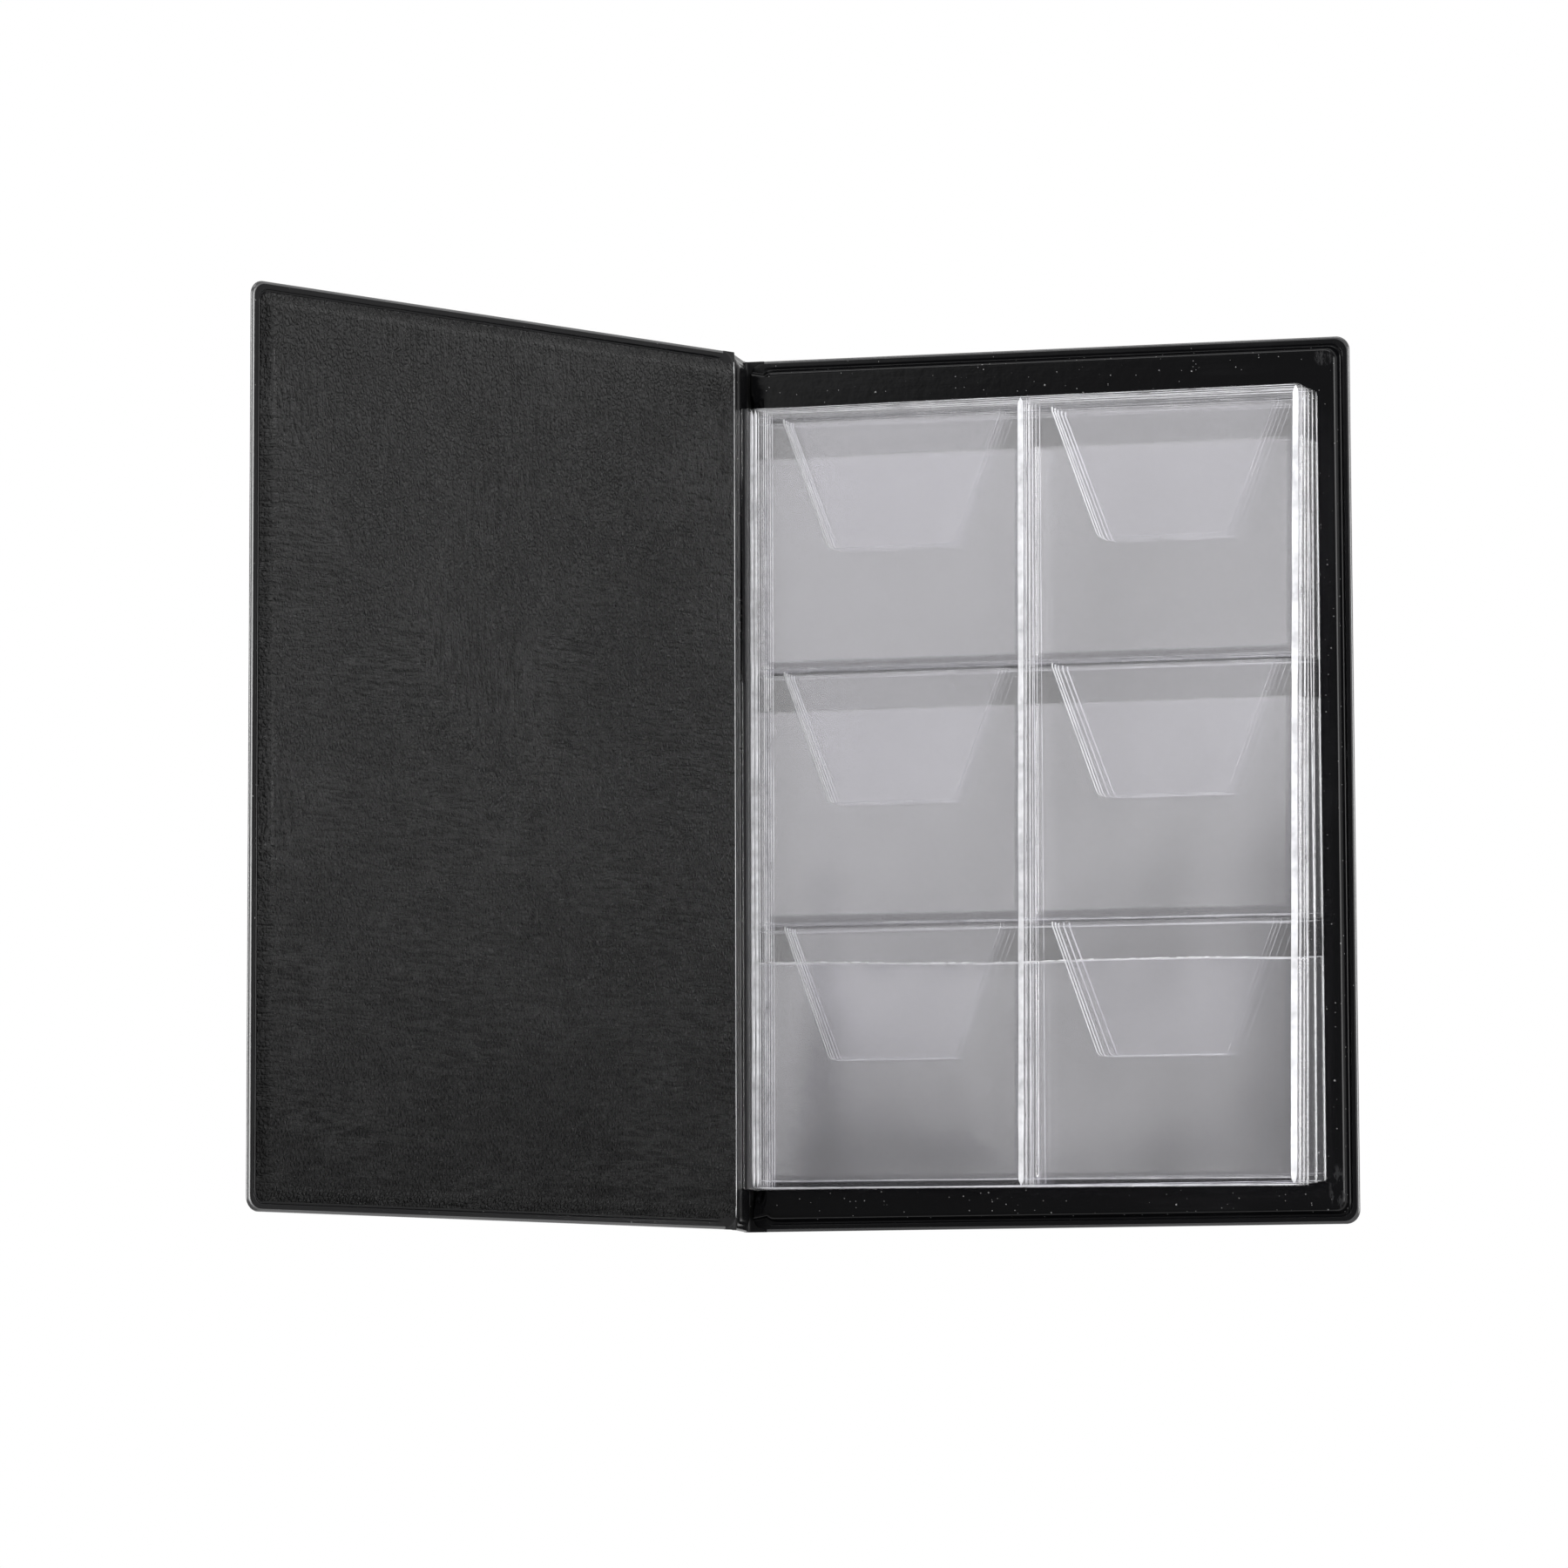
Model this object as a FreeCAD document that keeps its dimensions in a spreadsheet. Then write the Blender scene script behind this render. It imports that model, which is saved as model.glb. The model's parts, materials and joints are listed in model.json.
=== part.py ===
import FreeCAD, Part
import Sketcher
import os

# A pocket coin album lying open on its back cover.
# Frame: millimetres, origin at the centre of the back cover's outer face, +X away from the spine,
# +Y towards the head of the album, +Z up through the leaves.

doc = FreeCAD.newDocument("coin_album")
sheet = doc.addObject("Spreadsheet::Sheet", "sheet")

SIZES = [
    # covers
    ("cover_width", 125.0), ("cover_height", 180.0), ("cover_corner", 2.8),
    ("skin_thick", 0.45), ("flange_thick", 0.40), ("rim_width", 1.6), ("groove_width", 0.5), ("groove_depth", 0.22),
    ("plateau_inset", 2.9), ("plateau_top", 2.45), ("plateau_round", 0.9), ("hollow_inset", 4.2), ("hollow_top", 2.05),
    ("board_thick", 1.55), ("board_inset", 4.5), ("board_corner", 1.5),
    # spine
    ("spine_width", 11.2), ("spine_flange", 1.2), ("spine_top", 1.65), ("spine_hollow_inset", 1.9), ("spine_hollow_top", 1.30),
    ("spine_board_thick", 0.80), ("spine_board_inset", 2.1), ("spine_round", 0.5),
    ("fold_gap", 0.5), ("fold_height", 0.45), ("fold_rise", 12.1),
    ("front_elevation", 55.7),
    # leaves
    ("leaf_count", 5), ("leaf_film", 0.20), ("leaf_reach", 116.2), ("leaf_foot", -81.6), ("leaf_tall", 160.4), ("leaf_corner", 1.2),
    ("leaf_low", 2.75), ("leaf_pitch", 1.5), ("leaf_stagger", 0.10), ("root_start", 0.83), ("root_length", 1.27), ("root_gap", 0.13), ("binding_gap", 0.08), ("strip_start", 0.42),
    ("foot_margin", 0.5), ("row_pitch", 52.3), ("mouth_drop", 7.6),
    ("strip_film", 0.15), ("pocket_gap", 0.30), ("row_weld", 1.3), ("strip_gap", 0.25),
    ("left_weld", 2.35), ("middle_weld_from", 57.5), ("middle_weld_to", 60.6), ("right_weld", 2.1),
    # flaps
    ("flap_top", 46.5), ("flap_foot", 27.0), ("flap_long", 26.4), ("flap_film", 0.12), ("flap_rise", 0.05), ("flap_round", 1.0), ("flap_gap", 0.35),
    # binding strip
    ("binding_back", 0.15), ("binding_foot", 1.5), ("binding_shelf", 2.3), ("binding_over", 2.55), ("binding_top", 9.05),
]
N = {}
for row, (name, value) in enumerate(SIZES, start=1):
    sheet.set("A%d" % row, name)
    sheet.set("B%d" % row, repr(value))
    sheet.setAlias("B%d" % row, name)
    N[name] = float(value)
doc.recompute()


class Size:
    """A length that carries both its expression on the sheet and its present value."""

    def __init__(self, text, value):
        self.text, self.value = text, float(value)

    def _with(self, other, sign, value):
        return Size("(%s %s %s)" % (self.text, sign, as_size(other).text), value)

    def __add__(self, o):
        return self._with(o, "+", self.value + as_size(o).value)

    def __sub__(self, o):
        return self._with(o, "-", self.value - as_size(o).value)

    def __mul__(self, o):
        return self._with(o, "*", self.value * as_size(o).value)

    def __truediv__(self, o):
        return self._with(o, "/", self.value / as_size(o).value)

    def __neg__(self):
        return Size("(0 - %s)" % self.text, -self.value)


def as_size(x):
    return x if isinstance(x, Size) else Size(repr(float(x)), x)


def S(name):
    return Size("sheet." + name, N[name])


FINAL = []  # (node name, object)
FAILED = []


def place(obj, x=0, y=0, z=0, turn=0):
    """Placement: offset, then a turn about +Y in degrees."""
    x, y, z, turn = as_size(x), as_size(y), as_size(z), as_size(turn)
    obj.Placement = FreeCAD.Placement(FreeCAD.Vector(x.value, y.value, z.value), FreeCAD.Rotation(FreeCAD.Vector(0, 1, 0), turn.value))


def new_body(name):
    body = doc.addObject("PartDesign::Body", name)
    body.Label = name
    return body


def plane(body, role):
    for feature in body.Origin.OriginFeatures:
        if feature.Role == role:
            return feature
    raise RuntimeError(role)


def sketch_on(body, name, level, role="XY_Plane"):
    sk = body.newObject("Sketcher::SketchObject", name)
    sk.AttachmentSupport = [(plane(body, role), "")]
    sk.MapMode = "FlatFace"
    level = as_size(level)
    sk.AttachmentOffset = FreeCAD.Placement(FreeCAD.Vector(0, 0, level.value), FreeCAD.Rotation())
    sk.setExpression("AttachmentOffset.Base.z", level.text)
    return sk


def polygon(sk, tag, points):
    """A closed polygon whose corners are each held by bound distances from the sketch origin."""
    first = len(sk.Geometry)
    n = len(points)
    pts = [(as_size(a), as_size(b)) for a, b in points]
    for i in range(n):
        a, b = pts[i], pts[(i + 1) % n]
        sk.addGeometry(Part.LineSegment(FreeCAD.Vector(a[0].value, a[1].value, 0), FreeCAD.Vector(b[0].value, b[1].value, 0)), False)
    for i in range(n):
        sk.addConstraint(Sketcher.Constraint("Coincident", first + i, 2, first + (i + 1) % n, 1))
    for i in range(n):
        for kind, size, axis in (("DistanceX", pts[i][0], "x"), ("DistanceY", pts[i][1], "y")):
            if abs(size.value) < 1e-9:
                # a corner on the sketch's own axis is held on that axis
                sk.addConstraint(Sketcher.Constraint("PointOnObject", first + i, 1, -2 if kind == "DistanceX" else -1))
                continue
            k = sk.addConstraint(Sketcher.Constraint(kind, -1, 1, first + i, 1, size.value))
            cname = "%s%s%d" % (tag, axis, i)
            sk.renameConstraint(k, cname)
            sk.setExpression("Constraints." + cname, size.text)


def rectangle(sk, tag, x0, x1, y0, y1):
    polygon(sk, tag, [(x0, y0), (x1, y0), (x1, y1), (x0, y1)])


def pad(body, sk, length, name, reverse=False):
    p = body.newObject("PartDesign::Pad", name)
    p.Profile = sk
    length = as_size(length)
    p.Length = length.value
    p.setExpression("Length", length.text)
    p.Reversed = reverse
    return p


def pocket_up(body, sk, length, name):
    """A cut that starts at the sketch's level and goes up (+Z)."""
    before = doc_volume(body)
    p = body.newObject("PartDesign::Pocket", name)
    p.Profile = sk
    length = as_size(length)
    p.Length = length.value
    p.setExpression("Length", length.text)
    p.Reversed = True
    doc.recompute()
    if not doc_volume(body) < before - 1e-6:
        FAILED.append("%s %s cut nothing" % (body.Label, name))
    return p


def pocket_down(body, sk, length, name):
    before = doc_volume(body)
    p = body.newObject("PartDesign::Pocket", name)
    p.Profile = sk
    length = as_size(length)
    p.Length = length.value
    p.setExpression("Length", length.text)
    doc.recompute()
    if not doc_volume(body) < before - 1e-6:
        FAILED.append("%s %s cut nothing" % (body.Label, name))
    return p


def doc_volume(body):
    doc.recompute()
    return body.Shape.Volume if not body.Shape.isNull() else 0.0


def round_edges(body, base, test, radius, name):
    """A fillet on every edge of the base feature that the test picks, by its two end points."""
    doc.recompute()
    picked = []
    for i, e in enumerate(base.Shape.Edges, start=1):
        if len(e.Vertexes) == 2 and test(e.Vertexes[0].Point, e.Vertexes[1].Point):
            picked.append("Edge%d" % i)
    if not picked:
        FAILED.append("%s %s found no edge" % (body.Label, name))
        return base
    f = body.newObject("PartDesign::Fillet", name)
    f.Base = (base, picked)
    radius = as_size(radius)
    f.Radius = radius.value
    f.setExpression("Radius", radius.text)
    doc.recompute()
    return f


def upright(a, b):
    return abs(a.x - b.x) < 1e-4 and abs(a.y - b.y) < 1e-4 and abs(a.z - b.z) > 1e-4


def near(a, b, tol=1e-3):
    return abs(a - b) < tol


# ---------------------------------------------------------------- covers
# Each cover panel is drawn lying flat with its outer face at z = 0 and its hinge edge along x = 0.
# side = +1 runs to +x (back cover), side = -1 runs to -x (front cover).

def cover_panel(prefix, side, put):
    w, tall = S("cover_width"), S("cover_height")

    def span(inset, hinge_inset=None):
        a = as_size(hinge_inset if hinge_inset is not None else inset)
        b = w - inset
        return (a, b) if side > 0 else (-b, -a)

    def ring(sk, tag, inset):
        x0, x1 = span(inset)
        half = tall / 2 - inset
        rectangle(sk, tag, x0, x1, -half, half)

    # outer skin: one sheet of vinyl, its four corners rounded
    body = new_body(prefix + "_skin")
    sk = sketch_on(body, prefix + "_skin_outline", 0)
    ring(sk, "o", as_size(0))
    p = pad(body, sk, S("skin_thick"), prefix + "_skin_pad")
    round_edges(body, p, upright, S("cover_corner"), prefix + "_skin_corners")
    put(body)
    FINAL.append((prefix + "_skin", body))

    # stiffening board between the skin and the lining
    body = new_body(prefix + "_board")
    sk = sketch_on(body, prefix + "_board_outline", S("skin_thick"))
    ring(sk, "b", S("board_inset"))
    p = pad(body, sk, S("board_thick"), prefix + "_board_pad")
    round_edges(body, p, upright, S("board_corner"), prefix + "_board_corners")
    put(body)
    FINAL.append((prefix + "_board", body))

    # inner lining: flange welded to the skin round the rim, weld groove, then the plateau over the board
    body = new_body(prefix + "_lining")
    sk = sketch_on(body, prefix + "_flange_outline", S("skin_thick"))
    ring(sk, "f", as_size(0))
    p = pad(body, sk, S("flange_thick"), prefix + "_flange")
    round_edges(body, p, upright, S("cover_corner"), prefix + "_flange_corners")
    sk = sketch_on(body, prefix + "_plateau_outline", S("skin_thick"))
    ring(sk, "p", S("plateau_inset"))
    p = pad(body, sk, S("plateau_top") - S("skin_thick"), prefix + "_plateau")
    doc.recompute()
    top = N["plateau_top"]
    x0, x1 = span(S("plateau_inset"))
    hy = N["cover_height"] / 2 - N["plateau_inset"]

    def plateau_upright(a, b):
        return upright(a, b) and (near(a.x, x0.value) or near(a.x, x1.value)) and near(abs(a.y), hy) and max(a.z, b.z) > top - 1e-3

    f = round_edges(body, p, plateau_upright, S("cover_corner") * 0.8, prefix + "_plateau_corners")

    def plateau_top_edge(a, b):
        return near(a.z, top) and near(b.z, top)

    round_edges(body, f, plateau_top_edge, S("plateau_round"), prefix + "_plateau_shoulder")
    sk = sketch_on(body, prefix + "_hollow_outline", S("skin_thick"))
    ring(sk, "h", S("hollow_inset"))
    pocket_up(body, sk, S("hollow_top") - S("skin_thick"), prefix + "_hollow")
    # the welding die leaves a groove just inside the rim
    sk = sketch_on(body, prefix + "_groove_outline", S("skin_thick") + S("flange_thick"))
    ring(sk, "g", S("rim_width"))
    ring(sk, "i", S("rim_width") + S("groove_width"))
    pocket_down(body, sk, S("groove_depth"), prefix + "_groove")
    put(body)
    FINAL.append((prefix + "_lining", body))


left_edge = -S("cover_width") / 2  # the back cover's hinge edge, x


def put_back(obj):
    place(obj, left_edge, 0, 0, 0)
    obj.setExpression("Placement.Base.x", left_edge.text)


cover_panel("back_cover", +1, put_back)

# The front cover stands raised on the left. It turns about the fold line at the top of the spine.
from math import cos, sin, radians

fold_x = left_edge - S("fold_gap")
fold_z = S("fold_rise") + S("fold_height")
ele = radians(N["front_elevation"])


def put_front(obj):
    # local fold line at (fold_gap, fold_height), turned about +Y by the elevation, then moved onto the fold line
    gx, gz = N["fold_gap"], N["fold_height"]
    x = fold_x.value - (gx * cos(ele) + gz * sin(ele))
    z = fold_z.value - (-gx * sin(ele) + gz * cos(ele))
    place(obj, x, 0, z, S("front_elevation"))
    obj.setExpression("Placement.Base.x", "%s - (sheet.fold_gap * cos(sheet.front_elevation * 1 deg) + sheet.fold_height * sin(sheet.front_elevation * 1 deg))" % fold_x.text)
    obj.setExpression("Placement.Base.z", "%s - (sheet.fold_height * cos(sheet.front_elevation * 1 deg) - sheet.fold_gap * sin(sheet.front_elevation * 1 deg))" % fold_z.text)


cover_panel("front_cover", -1, put_front)

# ---------------------------------------------------------------- spine
# Drawn upright: the section lies in the XZ plane and runs along Y. Outer face at x = -(fold_gap + ...).

spine_inner = -S("fold_gap") + 0.4       # inner face of the spine lining, x from the hinge edge
spine_outer = spine_inner - S("spine_top")
spine_low = S("fold_height") * 2
half_tall = S("cover_height") / 2


def put_spine(obj):
    place(obj, left_edge, 0, 0, 0)
    obj.setExpression("Placement.Base.x", left_edge.text)


def spine_slab(body, tag, x0, x1, z0, z1, y_inset, level_note):
    """A pad in +Z from a rectangle at the slab's lower end."""
    sk = sketch_on(body, tag + "_outline", z0)
    rectangle(sk, "r", x0, x1, -(half_tall - y_inset), half_tall - y_inset)
    return pad(body, sk, as_size(z1) - z0, tag + "_pad")


body = new_body("spine_skin")
p = spine_slab(body, "spine_skin", spine_outer, spine_outer + S("skin_thick"), spine_low, spine_low + S("spine_width"), as_size(0), "")
put_spine(body)
FINAL.append(("spine_skin", body))

body = new_body("spine_board")
p = spine_slab(body, "spine_board", spine_outer + S("skin_thick"), spine_outer + S("skin_thick") + S("spine_board_thick"),
               spine_low + S("spine_board_inset"), spine_low + S("spine_width") - S("spine_board_inset"), S("board_inset"), "")
put_spine(body)
FINAL.append(("spine_board", body))

body = new_body("spine_lining")
p = spine_slab(body, "spine_flange", spine_outer + S("skin_thick"), spine_outer + S("skin_thick") + S("flange_thick"),
               spine_low, spine_low + S("spine_width"), as_size(0), "")
sk = sketch_on(body, "spine_plateau_outline", spine_low + S("spine_flange"))
rectangle(sk, "p", spine_outer + S("skin_thick"), spine_inner, -(half_tall - S("plateau_inset")), half_tall - S("plateau_inset"))
p = pad(body, sk, S("spine_width") - S("spine_flange") * 2, "spine_plateau")
doc.recompute()
face_x = spine_inner.value


def spine_face_edge(a, b):
    return near(a.x, face_x) and near(b.x, face_x)


round_edges(body, p, spine_face_edge, S("spine_round"), "spine_shoulder")
sk = sketch_on(body, "spine_hollow_outline", spine_low + S("spine_hollow_inset"))
rectangle(sk, "h", spine_outer + S("skin_thick"), spine_outer + S("spine_hollow_top"), -(half_tall - S("hollow_inset")), half_tall - S("hollow_inset"))
pocket_up(body, sk, S("spine_width") - S("spine_hollow_inset") * 2, "spine_hollow")
put_spine(body)
FINAL.append(("spine_lining", body))

# ---------------------------------------------------------------- binding strip
# The leaf roots meet in a wedge-shaped strip of vinyl beside the spine. Section in XZ, run along Y.
leaf_head = S("leaf_foot") + S("leaf_tall")
body = new_body("leaf_binding_strip")
sk = sketch_on(body, "binding_section", -S("leaf_foot"), role="XZ_Plane")
low_z = S("skin_thick") + S("flange_thick")
face_low = S("root_start") + S("leaf_stagger") * (S("leaf_count") - 1) - S("binding_gap")
face_top = S("root_start") - S("binding_gap")
polygon(sk, "b", [
    (S("binding_back"), low_z), (S("binding_foot"), low_z), (S("binding_foot"), S("binding_shelf")),
    (face_low, S("binding_over")), (face_low, S("leaf_low")),
    (face_top, S("leaf_low") + S("leaf_pitch") * (S("leaf_count") - 1)), (face_top, S("binding_top")), (S("binding_back"), S("binding_top"))])
pad(body, sk, S("leaf_tall"), "binding_pad", reverse=True)
place(body, left_edge, 0, 0, 0)
body.setExpression("Placement.Base.x", left_edge.text)
doc.recompute()
FINAL.append(("leaf_binding_strip", body))

# ---------------------------------------------------------------- leaves
# Leaf 1 is the top leaf. A leaf is drawn flat from its crease line at x = 0, film mid-plane at z = 0, pockets on top.
LEAN = {1: 6.0, 2: 5.3, 3: 4.6, 4: 2.6, 5: 0.0}  # how far each leaf is lifted from flat, degrees
ROWS = ("top", "middle", "bottom")
COLUMNS = ("left", "right")


def crease(k):
    """Root start and crease line of leaf k, in the album frame."""
    a = radians(LEAN[k])
    x0 = left_edge.value + N["root_start"] + N["leaf_stagger"] * (k - 1)
    z0 = N["leaf_low"] + N["leaf_pitch"] * (N["leaf_count"] - k)
    return (x0, z0), (x0 + N["root_length"] * cos(a), z0 + N["root_length"] * sin(a))


def put_on_leaf(k, obj, dx=0.0, dy=0.0, dz=0.0):
    a = radians(LEAN[k])
    _, (cx, cz) = crease(k)
    obj.Placement = FreeCAD.Placement(
        FreeCAD.Vector(cx + dx * cos(a) - dz * sin(a), dy, cz + dx * sin(a) + dz * cos(a)),
        FreeCAD.Rotation(FreeCAD.Vector(0, 1, 0), -LEAN[k]))


half_film = S("leaf_film") / 2
foot = S("leaf_foot")
head = S("leaf_foot") + S("leaf_tall")


def row_seam(row):
    """The seam along the head side of a row (0 is the top row)."""
    return foot + S("foot_margin") + S("row_pitch") * (3 - row)


def flap_middle(column):
    left, right = S("strip_start") + S("left_weld"), S("middle_weld_from")
    if column == 1:
        left, right = S("middle_weld_to"), S("leaf_reach") - S("right_weld")
    return (left + right) / 2


def flap_points(middle, seam):
    top, bottom = seam - S("flap_gap"), seam - S("flap_gap") - S("flap_long")
    return [(middle - S("flap_top") / 2, top), (middle - S("flap_foot") / 2, bottom), (middle + S("flap_foot") / 2, bottom), (middle + S("flap_top") / 2, top)]


for k in range(1, int(N["leaf_count"]) + 1):
    leaf = "leaf_%d" % k
    # bound margin between the binding strip and the crease
    body = new_body(leaf + "_root")
    sk = sketch_on(body, leaf + "_root_outline", -half_film)
    rectangle(sk, "r", -S("root_length"), -S("root_gap"), foot, head)
    pad(body, sk, S("leaf_film"), leaf + "_root_pad")
    put_on_leaf(k, body)
    FINAL.append((leaf + "_root", body))

    # backing film of the leaf
    body = new_body(leaf + "_film")
    sk = sketch_on(body, leaf + "_film_outline", -half_film)
    rectangle(sk, "r", S("root_gap"), S("leaf_reach"), foot, head)
    p = pad(body, sk, S("leaf_film"), leaf + "_film_pad")
    reach = N["leaf_reach"]
    round_edges(body, p, lambda a, b: upright(a, b) and near(a.x, reach), S("leaf_corner"), leaf + "_film_corners")
    put_on_leaf(k, body)
    FINAL.append((leaf + "_film", body))

    # three front strips, each making two pockets: flat where welded, raised over the pockets, open at the mouth
    for r, row in enumerate(ROWS):
        name = "%s_strip_%s" % (leaf, row)
        body = new_body(name)
        low = row_seam(r + 1) if r < 2 else foot + S("foot_margin") - 0.4
        low = low + (S("strip_gap") if r < 2 else 0.0)
        mouth = row_seam(r) - S("mouth_drop")
        sk = sketch_on(body, name + "_outline", half_film)
        rectangle(sk, "o", S("strip_start"), S("leaf_reach"), low, mouth)
        pad(body, sk, S("strip_film"), name + "_weld")
        sk = sketch_on(body, name + "_raised_outline", half_film)
        rectangle(sk, "l", S("strip_start") + S("left_weld"), S("middle_weld_from"), low + S("row_weld"), mouth)
        rectangle(sk, "m", S("middle_weld_to"), S("leaf_reach") - S("right_weld"), low + S("row_weld"), mouth)
        pad(body, sk, S("pocket_gap") + S("strip_film"), name + "_raised")
        sk = sketch_on(body, name + "_inside_outline", half_film)
        t = S("strip_film")
        rectangle(sk, "l", S("strip_start") + S("left_weld") + t, S("middle_weld_from") - t, low + S("row_weld") + t, mouth + 1.0)
        rectangle(sk, "m", S("middle_weld_to") + t, S("leaf_reach") - S("right_weld") - t, low + S("row_weld") + t, mouth + 1.0)
        pocket_up(body, sk, S("pocket_gap"), name + "_inside")
        put_on_leaf(k, body)
        FINAL.append((name, body))

    # pocket flaps: a tapered tongue that hangs from the head seam of each row, tucked behind the front strip
    level = half_film + S("flap_rise")
    if k == 1:
        for r, row in enumerate(ROWS):
            for c, col in enumerate(COLUMNS):
                name = "%s_flap_%s_%s" % (leaf, row, col)
                body = new_body(name)
                sk = sketch_on(body, name + "_outline", level)
                polygon(sk, "f", flap_points(flap_middle(c), row_seam(r)))
                p = pad(body, sk, S("flap_film"), name + "_pad")
                end = row_seam(r).value - N["flap_gap"] - N["flap_long"]
                round_edges(body, p, lambda a, b: upright(a, b) and near(a.y, end), S("flap_round"), name + "_tip")
                put_on_leaf(k, body)
                FINAL.append((name, body))
    else:
        name = leaf + "_flaps"
        body = new_body(name)
        if hasattr(body, "AllowCompound"):
            body.AllowCompound = True
        sk = sketch_on(body, name + "_outline", level)
        for r in range(3):
            for c in range(2):
                polygon(sk, "f%d%d" % (r, c), flap_points(flap_middle(c), row_seam(r)))
        p = pad(body, sk, S("flap_film"), name + "_pad")
        ends = [row_seam(r).value - N["flap_gap"] - N["flap_long"] for r in range(3)]
        round_edges(body, p, lambda a, b: upright(a, b) and min(abs(a.y - e) for e in ends) < 1e-3, S("flap_round"), name + "_tips")
        put_on_leaf(k, body)
        FINAL.append((name, body))

doc.recompute()

# ---------------------------------------------------------------- check, then write
for o in doc.Objects:
    if "Invalid" in o.State or "Error" in o.State:
        FAILED.append("%s is %s" % (o.Name, o.State))
for name, o in FINAL:
    if o.Shape.isNull() or not o.Shape.isValid() or not o.Shape.Solids:
        FAILED.append("%s has no valid solid" % name)
    want = 6 if name.endswith("_flaps") else 1
    if not o.Shape.isNull() and len(o.Shape.Solids) != want:
        FAILED.append("%s has %d solids, not %d" % (name, len(o.Shape.Solids), want))
if FAILED:
    raise SystemExit("\n".join(FAILED))
os.makedirs("parts", exist_ok=True)
for name, o in FINAL:
    o.Shape.exportStep("parts/%s.step" % name)
    b = o.Shape.BoundBox
    print("%-26s solids %d  volume %9.2f  x %7.2f %7.2f  y %7.2f %7.2f  z %6.2f %6.2f" % (name, len(o.Shape.Solids), o.Shape.Volume, b.XMin, b.XMax, b.YMin, b.YMax, b.ZMin, b.ZMax))
print("fold lines: spine foot x %.4f z %.4f, spine head x %.4f z %.4f" % (fold_x.value, N["fold_height"], fold_x.value, fold_z.value))
for k in range(1, 6):
    print("leaf", k, "root line and crease line (x, z):", ["%.4f %.4f" % p for p in crease(k)], "lean", LEAN[k])
for r in range(3):
    print("flap hinge line", ROWS[r], "y %.4f, local z %.4f" % (row_seam(r).value - N["flap_gap"], N["leaf_film"] / 2 + N["flap_rise"] + N["flap_film"] / 2))
print(len(FINAL), "nodes")
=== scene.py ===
import bpy, bmesh, json, math
import numpy as np
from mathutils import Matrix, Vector


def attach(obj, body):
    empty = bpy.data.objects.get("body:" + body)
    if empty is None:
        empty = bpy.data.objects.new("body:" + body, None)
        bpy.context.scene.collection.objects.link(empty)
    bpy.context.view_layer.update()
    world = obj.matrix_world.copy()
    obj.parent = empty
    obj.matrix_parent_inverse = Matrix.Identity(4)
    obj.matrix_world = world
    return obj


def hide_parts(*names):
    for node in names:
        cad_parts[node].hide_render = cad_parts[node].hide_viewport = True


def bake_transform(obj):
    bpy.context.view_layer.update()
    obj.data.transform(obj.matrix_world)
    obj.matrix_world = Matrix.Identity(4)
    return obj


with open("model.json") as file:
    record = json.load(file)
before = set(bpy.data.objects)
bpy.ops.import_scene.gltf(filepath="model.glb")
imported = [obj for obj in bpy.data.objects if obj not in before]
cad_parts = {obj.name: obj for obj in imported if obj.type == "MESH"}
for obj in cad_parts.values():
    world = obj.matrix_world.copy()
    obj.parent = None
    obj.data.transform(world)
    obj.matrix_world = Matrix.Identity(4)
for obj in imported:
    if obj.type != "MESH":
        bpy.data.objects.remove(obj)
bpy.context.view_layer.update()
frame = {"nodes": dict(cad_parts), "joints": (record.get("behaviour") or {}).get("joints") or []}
scene = bpy.context.scene
NODES = frame["nodes"]
JOINT = {j["name"]: j for j in frame["joints"]}
MM = 0.001

# ------------------------------------------------------------------ camera
cam_data = bpy.data.cameras.new("camera")
cam_data.sensor_width = 36.0
cam_data.sensor_fit = "HORIZONTAL"
cam_data.lens = 36.0 * 7960.0 / 1800.0
cam_data.clip_start = 0.05
cam_data.clip_end = 20.0
cam = bpy.data.objects.new("camera", cam_data)
cam.location = (0.2719, -0.1543, 1.3780)
cam.rotation_euler = tuple(math.radians(a) for a in (6.25, 13.40, -0.20))
scene.collection.objects.link(cam)
scene.camera = cam

# ------------------------------------------------------------------ small helpers
def link(o):
    scene.collection.objects.link(o)
    return o


def mesh_object(name, verts, faces, smooth=True):
    me = bpy.data.meshes.new(name)
    me.from_pydata([tuple(v) for v in verts], [], [tuple(f) for f in faces])
    me.validate()
    bm = bmesh.new()
    bm.from_mesh(me)
    bmesh.ops.recalc_face_normals(bm, faces=bm.faces)
    bm.to_mesh(me)
    bm.free()
    me.shade_smooth() if smooth else me.shade_flat()
    return link(bpy.data.objects.new(name, me))


def smoothstep(a, b, x):
    t = np.clip((np.asarray(x, float) - a) / (b - a), 0, 1)
    return t * t * (3 - 2 * t)


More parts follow.
